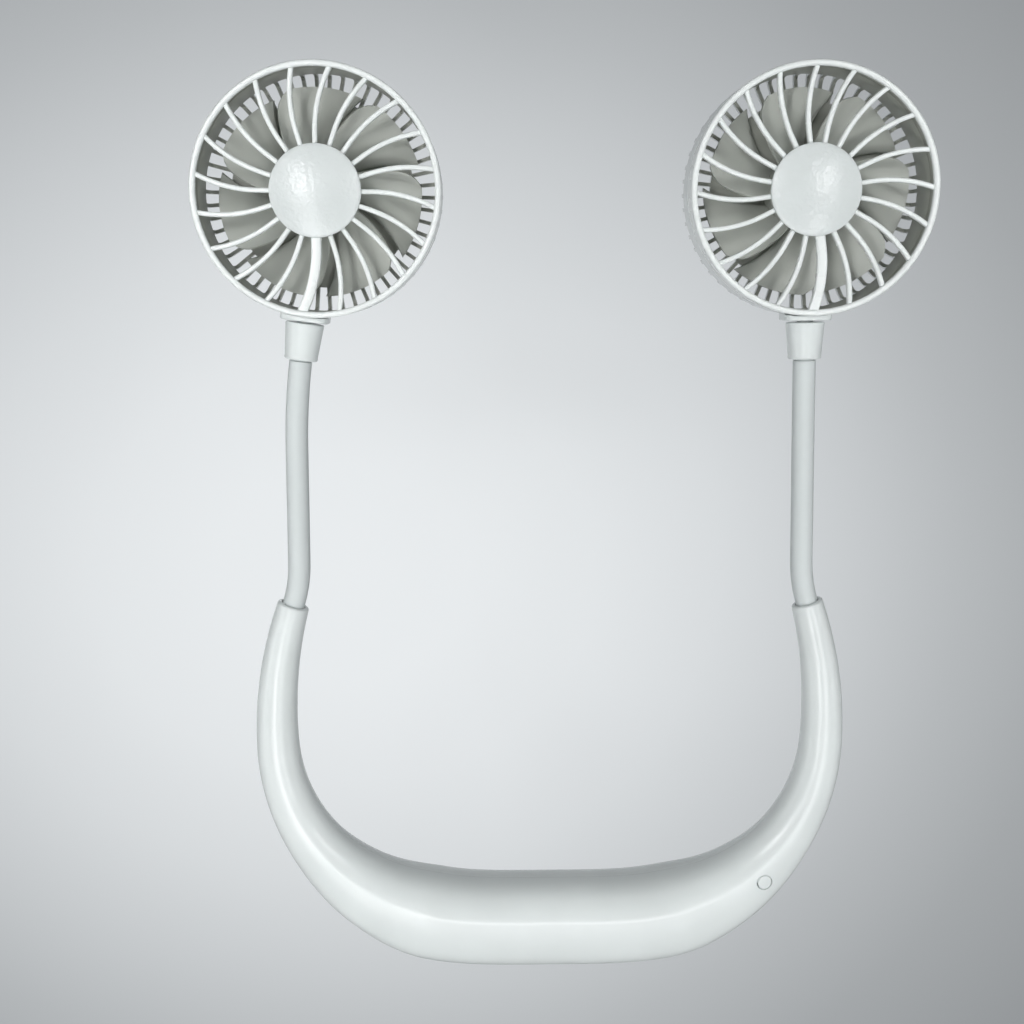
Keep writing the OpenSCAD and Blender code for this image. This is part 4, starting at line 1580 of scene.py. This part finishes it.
@dataclass
class FrontGrille(HeadPart):
    """Front grille: rim, swirl of ribs and hub."""

    # Bead along the rim's front
    rim_lip: float = 1.9
    # Ribs, straight up to swirl_in and arcs of swirl_r beyond
    ribs: int = 20
    rib_w: float = 1.5
    wide_w: float = 3.1
    rib_top: float = 22.2
    rib_t: float = 2.1
    swirl_in: float = 17.4
    swirl_r: float = 40.5
    # Hub, with the cup behind it
    plate_r: float = 13.4
    cup_r: float = 11.4
    cup_low: float = 14.1
    cup_wall: float = 1.3

    def swirl(self, r: float) -> float:
        """Turn of a rib's arc until it lies at a radius.

        Args:
            r: Distance from the head's axis.

        Returns:
            The turn, in radians.
        """
        a, b = 2 * self.swirl_in * self.swirl_r, 2 * self.swirl_r ** 2
        return math.atan2(b, a) + math.asin((r * r - self.swirl_in ** 2 - b) / math.hypot(a, b))

    def rib(self, name: str, width: float, turn: float) -> bpy.types.Object:
        """One rib, straight out of the hub and then an arc, with a rounded front.

        Args:
            name: Name of the object.
            width: Width of the rib.
            turn: Turn about the head's axis, in radians.

        Returns:
            The object.
        """
        end, steps = self.swirl(self.radius - self.rim_wall * 0.45), 18
        path = [(r, 0.0, 0.0) for r in (11.0, 13.0, 15.2, self.swirl_in)]
        path += [(self.swirl_in + self.swirl_r * math.sin(q), -self.swirl_r * (1 - math.cos(q)), -q)
                 for q in (end * i / steps for i in range(1, steps + 1))]
        low, top = self.rib_top - self.rib_t, self.rib_top
        half, r = width / 2, min(0.7, width * 0.42)
        shape = fillet([(-half, low, 0.25), (half, low, 0.25), (half, top, r), (-half, top, r)])
        rings = [[(x - u * math.sin(a), y + u * math.cos(a), z) for u, z in shape] for x, y, a in path]
        return Maker.loft(name, rings, 50, Matrix.Rotation(turn, 4, "Z"))

    def make(self) -> bpy.types.Object:
        """Make the front grille.

        Returns:
            The object.
        """
        r, d, wall, lip = self.radius, self.depth, self.radius - self.rim_wall, self.radius - self.rim_lip
        rim = Maker.lathe("rim", fillet([
            (wall, self.split, 0.1), (r, self.split + 0.05, 0.3), (r, d, 0.8), (lip, d, 0.8),
            (lip, d - 1.7, 0.3), (wall, d - 2.2, 0.2)], 7), 192, 50)
        # The rim's inward-facing wall below its bead gets the painted shade
        Maker.mark(rim, lambda c, n: c.z < d - 1.5 and n.dot(Vector((c.x, c.y, 0)).normalized()) < -0.4)
        low, top = self.rib_top - self.rib_t, self.rib_top
        cup, cup_in = self.cup_r, self.cup_r - self.cup_wall
        hub = Maker.lathe("hub", fillet([
            (0.0, low, 0), (cup_in, low, 0.1), (cup_in, self.cup_low, 0.2), (cup, self.cup_low, 0.2),
            (cup, low, 0.2), (self.plate_r, low, 0.3), (self.plate_r, top, 0.4), (0.0, top, 0)], 4), 128, 40)
        end = self.swirl(wall)
        foot = (self.swirl_in + self.swirl_r * math.sin(end), self.swirl_r * (1 - math.cos(end)))
        start = math.atan2(foot[1], foot[0]) - math.pi / 2
        ribs = [self.rib(f"rib_{i}", self.rib_w if i else self.wide_w, start + 2 * math.pi * i / self.ribs)
                for i in range(self.ribs)]
        return self.assemble("grille", rim, hub, *ribs)


@dataclass
class HubCap(HeadPart):
    """Domed hub cap."""

    r: float = 13.9
    low: float = 22.3
    edge: float = 0.9
    rise: float = 1.9
    bend: float = 0.35

    def make(self) -> bpy.types.Object:
        """Make the hub cap.

        Returns:
            The object.
        """
        r, low, bend, steps = self.r, self.low, self.bend, 20
        dome_r = (r * r + self.rise ** 2) / (2 * self.rise)
        edge_z = low + self.edge
        radii = [(r - bend) * (1 - i / steps) for i in range(steps + 1)]
        dome = [(x, edge_z + self.rise - dome_r + math.sqrt(dome_r ** 2 - x * x)) for x in radii]
        turns = [math.radians(a) for a in (90, 70, 50, 30, 12)]
        curl = [(r - bend + bend * math.sin(a), edge_z - 0.3 + bend * math.cos(a)) for a in turns]
        profile = [(0.0, low), (r - 0.25, low), (r, low + 0.2), *curl, *dome]
        return Maker.lathe(f"cap_{self.tag}", profile, 128, 60, self.seat)


@dataclass
class Impeller(HeadPart):
    """Impeller: a cupped hub and swept blades."""

    # Blades
    blades: int = 7
    start: float = -10.0
    sweep: float = 20.0
    fill: float = 0.91
    low: float = 3.8
    h: float = 9.6
    t: float = 1.3
    camber: float = 0.12
    tip_r: float = 31.7
    tip_trim: float = 0.11
    trim_from: float = 0.78
    # Hub
    hub_low: float = 3.6
    hub_top: float = 13.5
    hub_r: float = 12.2
    hub_wall: float = 1.2
    bore_r: float = 1.02
    boss_r: float = 2.6

    def blade(self, name: str, turn: float) -> bpy.types.Object:
        """One blade: a low edge that leads clockwise, and a high edge behind it.

        Args:
            name: Name of the object.
            turn: Turn about the head's axis, in radians.

        Returns:
            The object.
        """
        root = self.hub_r - 0.6
        span = 360 / self.blades * self.fill
        rows, cols, nose = 14, 16, 0.35
        up = Vector((0, 0, self.t))
        rings = []
        for i in range(rows + 1):
            t = i / rows
            r = lerp(root, self.tip_r, t)
            trim = self.tip_trim * max(0.0, (t - self.trim_from) / (1 - self.trim_from)) ** 2
            row = []
            for j in range(cols + 1):
                q = j / cols * (1 - trim)
                a = math.radians(q * span - self.sweep * t)
                z = self.low + (self.h - self.t) * (q + self.camber * 4 * q * (1 - q))
                row.append(Vector((r * math.cos(a), r * math.sin(a), z)))
            first, last = row[1] - row[0], row[-1] - row[-2]
            lower = [row[0] + first.normalized() * nose, *row[1:-1], row[-1] - last.normalized() * nose]
            upper = [p + up for p in lower]
            back, front = row[0] + up * 0.5, row[-1] + up * 0.5
            rings.append([tuple(p) for p in (*lower, front, *reversed(upper), back)])
        return Maker.loft(name, rings, 40, Matrix.Rotation(turn, 4, "Z"))

    def make(self) -> bpy.types.Object:
        """Make the impeller.

        Returns:
            The object.
        """
        r, low, top = self.hub_r, self.hub_low, self.hub_top
        inner, bore, boss = r - self.hub_wall, self.bore_r, self.boss_r
        floor, boss_top = low + 1.4, low + 4.4
        hub = Maker.lathe("fan_hub", fillet([
            (bore, low, 0), (r, low, 0.6), (r, top, 0.3), (inner, top, 0.3), (inner, floor, 0.5),
            (boss, floor, 0.3), (boss, boss_top, 0.2), (bore, boss_top, 0)], 4), 96, 40)
        blades = [self.blade(f"blade_{i}", math.radians(self.start + 360 * i / self.blades))
                  for i in range(self.blades)]
        return self.assemble("fan", hub, *blades)


@dataclass
class Head:
    """One fan head, at its distance from the collar that carries it."""

    stem: Stem
    finish: Finishes
    reach: float = 51.8

    def build(self) -> None:
        """Make every piece of the head, and dress the motor's pieces."""
        x, y, turn = self.stem.place(self.stem.length + self.reach)
        seat = Matrix.Translation((x, y, 0)) @ Matrix.Rotation(math.radians(turn), 4, "Z")
        tag = self.stem.side.tag
        for part, look, body, node in ((RearCover, Look.SHELL, "head", "rear_cover"),
                                       (FrontGrille, Look.GRILLE, "head", "front_grille"),
                                       (HubCap, Look.DOME, "head", "hub_cap"),
                                       (Impeller, Look.IMPELLER, "rotor", "impeller")):
            piece = part(tag, seat, self.stem.band.stem_z).make()
            self.finish.dress(piece, look)
            mount_piece(piece, f"{body}_{tag}", f"{node}_{tag}")
        for node, look in (("motor_can", Look.MOTOR), ("motor_bush", Look.BUSH),
                           ("motor_shaft", Look.CORE), ("swivel_clip", Look.FITTING)):
            self.finish.dress_node(f"{node}_{tag}", look)


# Studio


@dataclass(frozen=True)
class SoftBox:
    """A rectangular lamp, with a grid where its light doesn't spread all round."""

    name: str
    at: Point3
    aim: Point3
    size: Point2
    power: float
    along: Point3 = (0, 1, 0)
    spread: float = 180.0

    def hang(self) -> None:
        """Hang the lamp, the length of its face along its own direction."""
        data = bpy.data.lights.new(self.name, "AREA")
        data.shape, data.size, data.size_y = "RECTANGLE", *self.size
        data.energy, data.spread = self.power, math.radians(self.spread)
        back = (Vector(self.at) - Vector(self.aim)).normalized()
        wide = Vector(self.along).cross(back).normalized()
        obj = new_object(self.name, data)
        obj.location = self.at
        obj.rotation_euler = Matrix((wide, back.cross(wide), back)).transposed().to_euler()


@dataclass
class Studio:
    """Camera, lights, floor and background."""

    # Camera
    camera_at: Point3 = (-0.0216, 0.2164, 0.4262)
    pitch: float = -0.179
    yaw: float = -1.2
    lens: float = 45.7
    film: float = 36.0
    clip: Point2 = (0.01, 20.0)
    # Floor, with a painted pool of light: its colour fades outwards from its centre over its spread
    floor_half: float = 4.0
    floor_z: float = -0.35
    floor_centre: Point2 = (-0.108, 0.038)
    floor_spread: Point2 = (0.384, 0.335)
    floor_bright: float = 0.905
    floor_dark: float = 0.33
    floor_power: float = 2.68
    floor_glow: float = 0.72
    floor_rough: float = 0.9
    floor_stops: tuple[float, ...] = (2, 1.7, 1.45, 1.2, 1.0, 0.8, 0.6, 0.4, 0.2, 0)
    # Light of the room, and the lamps
    room_colour: tuple[float, ...] = (0.95, 0.98, 1.0, 1)
    room_light: float = 0.15
    lamps: tuple[SoftBox, ...] = (
        SoftBox("key_left", (-0.37, 0.38, 1.0), (-0.2, 0.14, 0), (0.16, 0.45), 0.59, (-0.26, 1, 0), 70),
        SoftBox("key_right", (0.45, 0.42, 1.0), (0.2, 0.14, 0), (0.14, 0.4), 0.36, (0.17, 1, 0), 70),
        SoftBox("arm_left", (-0.27, -0.18, 1.0), (-0.18, 0.1, 0), (0.18, 0.4), 0.27, (-0.26, 1, 0), 70),
        SoftBox("arm_right", (0.37, -0.18, 1.0), (0.18, 0.1, 0), (0.16, 0.4), 0.2, (0.17, 1, 0), 70),
        SoftBox("key_low", (0, -0.395, 0.98), (0, 0, 0), (0.6, 0.08), 2.4),
        SoftBox("near_left", (-0.42, 0.12, 0.22), (-0.09, 0.09, 0), (0.12, 0.5), 0.38),
        SoftBox("near_right", (0.42, 0.12, 0.22), (0.09, 0.09, 0), (0.12, 0.5), 0.26),
        SoftBox("near_top", (0, 0.36, 0.2), (0, 0.24, 0.01), (0.12, 0.2), 0.05),
    )

    def camera(self) -> None:
        """Make the camera at the photograph's viewpoint."""
        data = bpy.data.cameras.new("camera")
        data.lens, data.sensor_width = self.lens, self.film
        data.clip_start, data.clip_end = self.clip
        cam = new_object("camera", data)
        cam.location = self.camera_at
        cam.rotation_euler = (self.pitch, math.radians(self.yaw), 0)
        bpy.context.scene.camera = cam

    def fade(self, r: float) -> Point3:
        """Colour of the floor at a distance from the bright middle of its painted pool of light.

        Args:
            r: Distance, as a share of the spread.

        Returns:
            The colour.
        """
        v = self.floor_dark + (self.floor_bright - self.floor_dark) * math.exp(-r ** self.floor_power)
        return v * lerp(0.945, 0.97, v), v, v * lerp(1.045, 1.015, v)

    def floor(self) -> None:
        """Lay a pale floor with a painted pool of light that darkens towards its edges."""
        s = self.floor_half
        data = bpy.data.meshes.new("floor")
        data.from_pydata([(-s, -s, 0), (s, -s, 0), (s, s, 0), (-s, s, 0)], [], [(0, 1, 2, 3)])
        obj = new_object("floor", data)
        obj.location = (*self.floor_centre, self.floor_z)
        data.materials.append(self.floor_material())

    def floor_material(self) -> bpy.types.Material:
        """Matt floor whose colour fades outwards as a painted pool of light, with a painted glow that only
        the eye and reflections see.

        Returns:
            The material.
        """
        g = Graph("floor")
        ball = g.add("ShaderNodeTexGradient", gradient_type="SPHERICAL")
        reach = tuple(0.5 / spread for spread in self.floor_spread)
        g.link(g.grid((*reach, 1)), ball.inputs["Vector"])
        colour = g.ramp(ball.outputs[0], [(1 - r / 2, self.fade(r)) for r in self.floor_stops])
        g.link(colour, g.shader.inputs["Base Color"])
        g.put(g.shader, {"Roughness": self.floor_rough, "Specular IOR Level": 0.0})
        rays = g.add("ShaderNodeLightPath")
        seen = rays.outputs["Is Camera Ray"]
        for ray in ("Is Glossy Ray", "Is Transmission Ray"):
            either = g.add("ShaderNodeMath", operation="MAXIMUM")
            g.link(seen, either.inputs[0])
            g.link(rays.outputs[ray], either.inputs[1])
            seen = either.outputs[0]
        share = g.add("ShaderNodeMath", operation="MULTIPLY")
        share.inputs[1].default_value = self.floor_glow
        g.link(seen, share.inputs[0])
        glow = g.add("ShaderNodeEmission")
        g.link(colour, glow.inputs["Color"])
        mix = g.add("ShaderNodeMixShader")
        for i, source in enumerate((share, g.shader, glow)):
            g.link(source.outputs[0], mix.inputs[i])
        g.link(mix.outputs[0], g.out.inputs[0])
        return g.material

    def room(self) -> None:
        """Give the room an even pale light."""
        world = bpy.data.worlds.new("room")
        bpy.context.scene.world = world
        world.use_nodes = True
        light = world.node_tree.nodes["Background"]
        Graph.put(light, {"Color": self.room_colour, "Strength": self.room_light})

    def build(self) -> None:
        """Set up the whole studio."""
        bpy.context.scene.view_settings.view_transform = "Standard"
        self.camera()
        self.floor()
        self.room()
        for lamp in self.lamps:
            lamp.hang()


def main() -> None:
    """Build the fan and its studio."""
    logging.basicConfig(level=logging.INFO, format="%(name)s: %(message)s")
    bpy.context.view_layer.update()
    Studio().build()
    finish = Finishes()
    band = Band(finish)
    band.build()
    for side, mid_lean, head_lean in ((Side.LEFT, 0.5, 8.0), (Side.RIGHT, 1.5, 1.2)):
        stem = Stem(band, finish, side, mid_lean, head_lean)
        stem.build()
        Head(stem, finish).build()


if __name__ == "__main__":
    main()
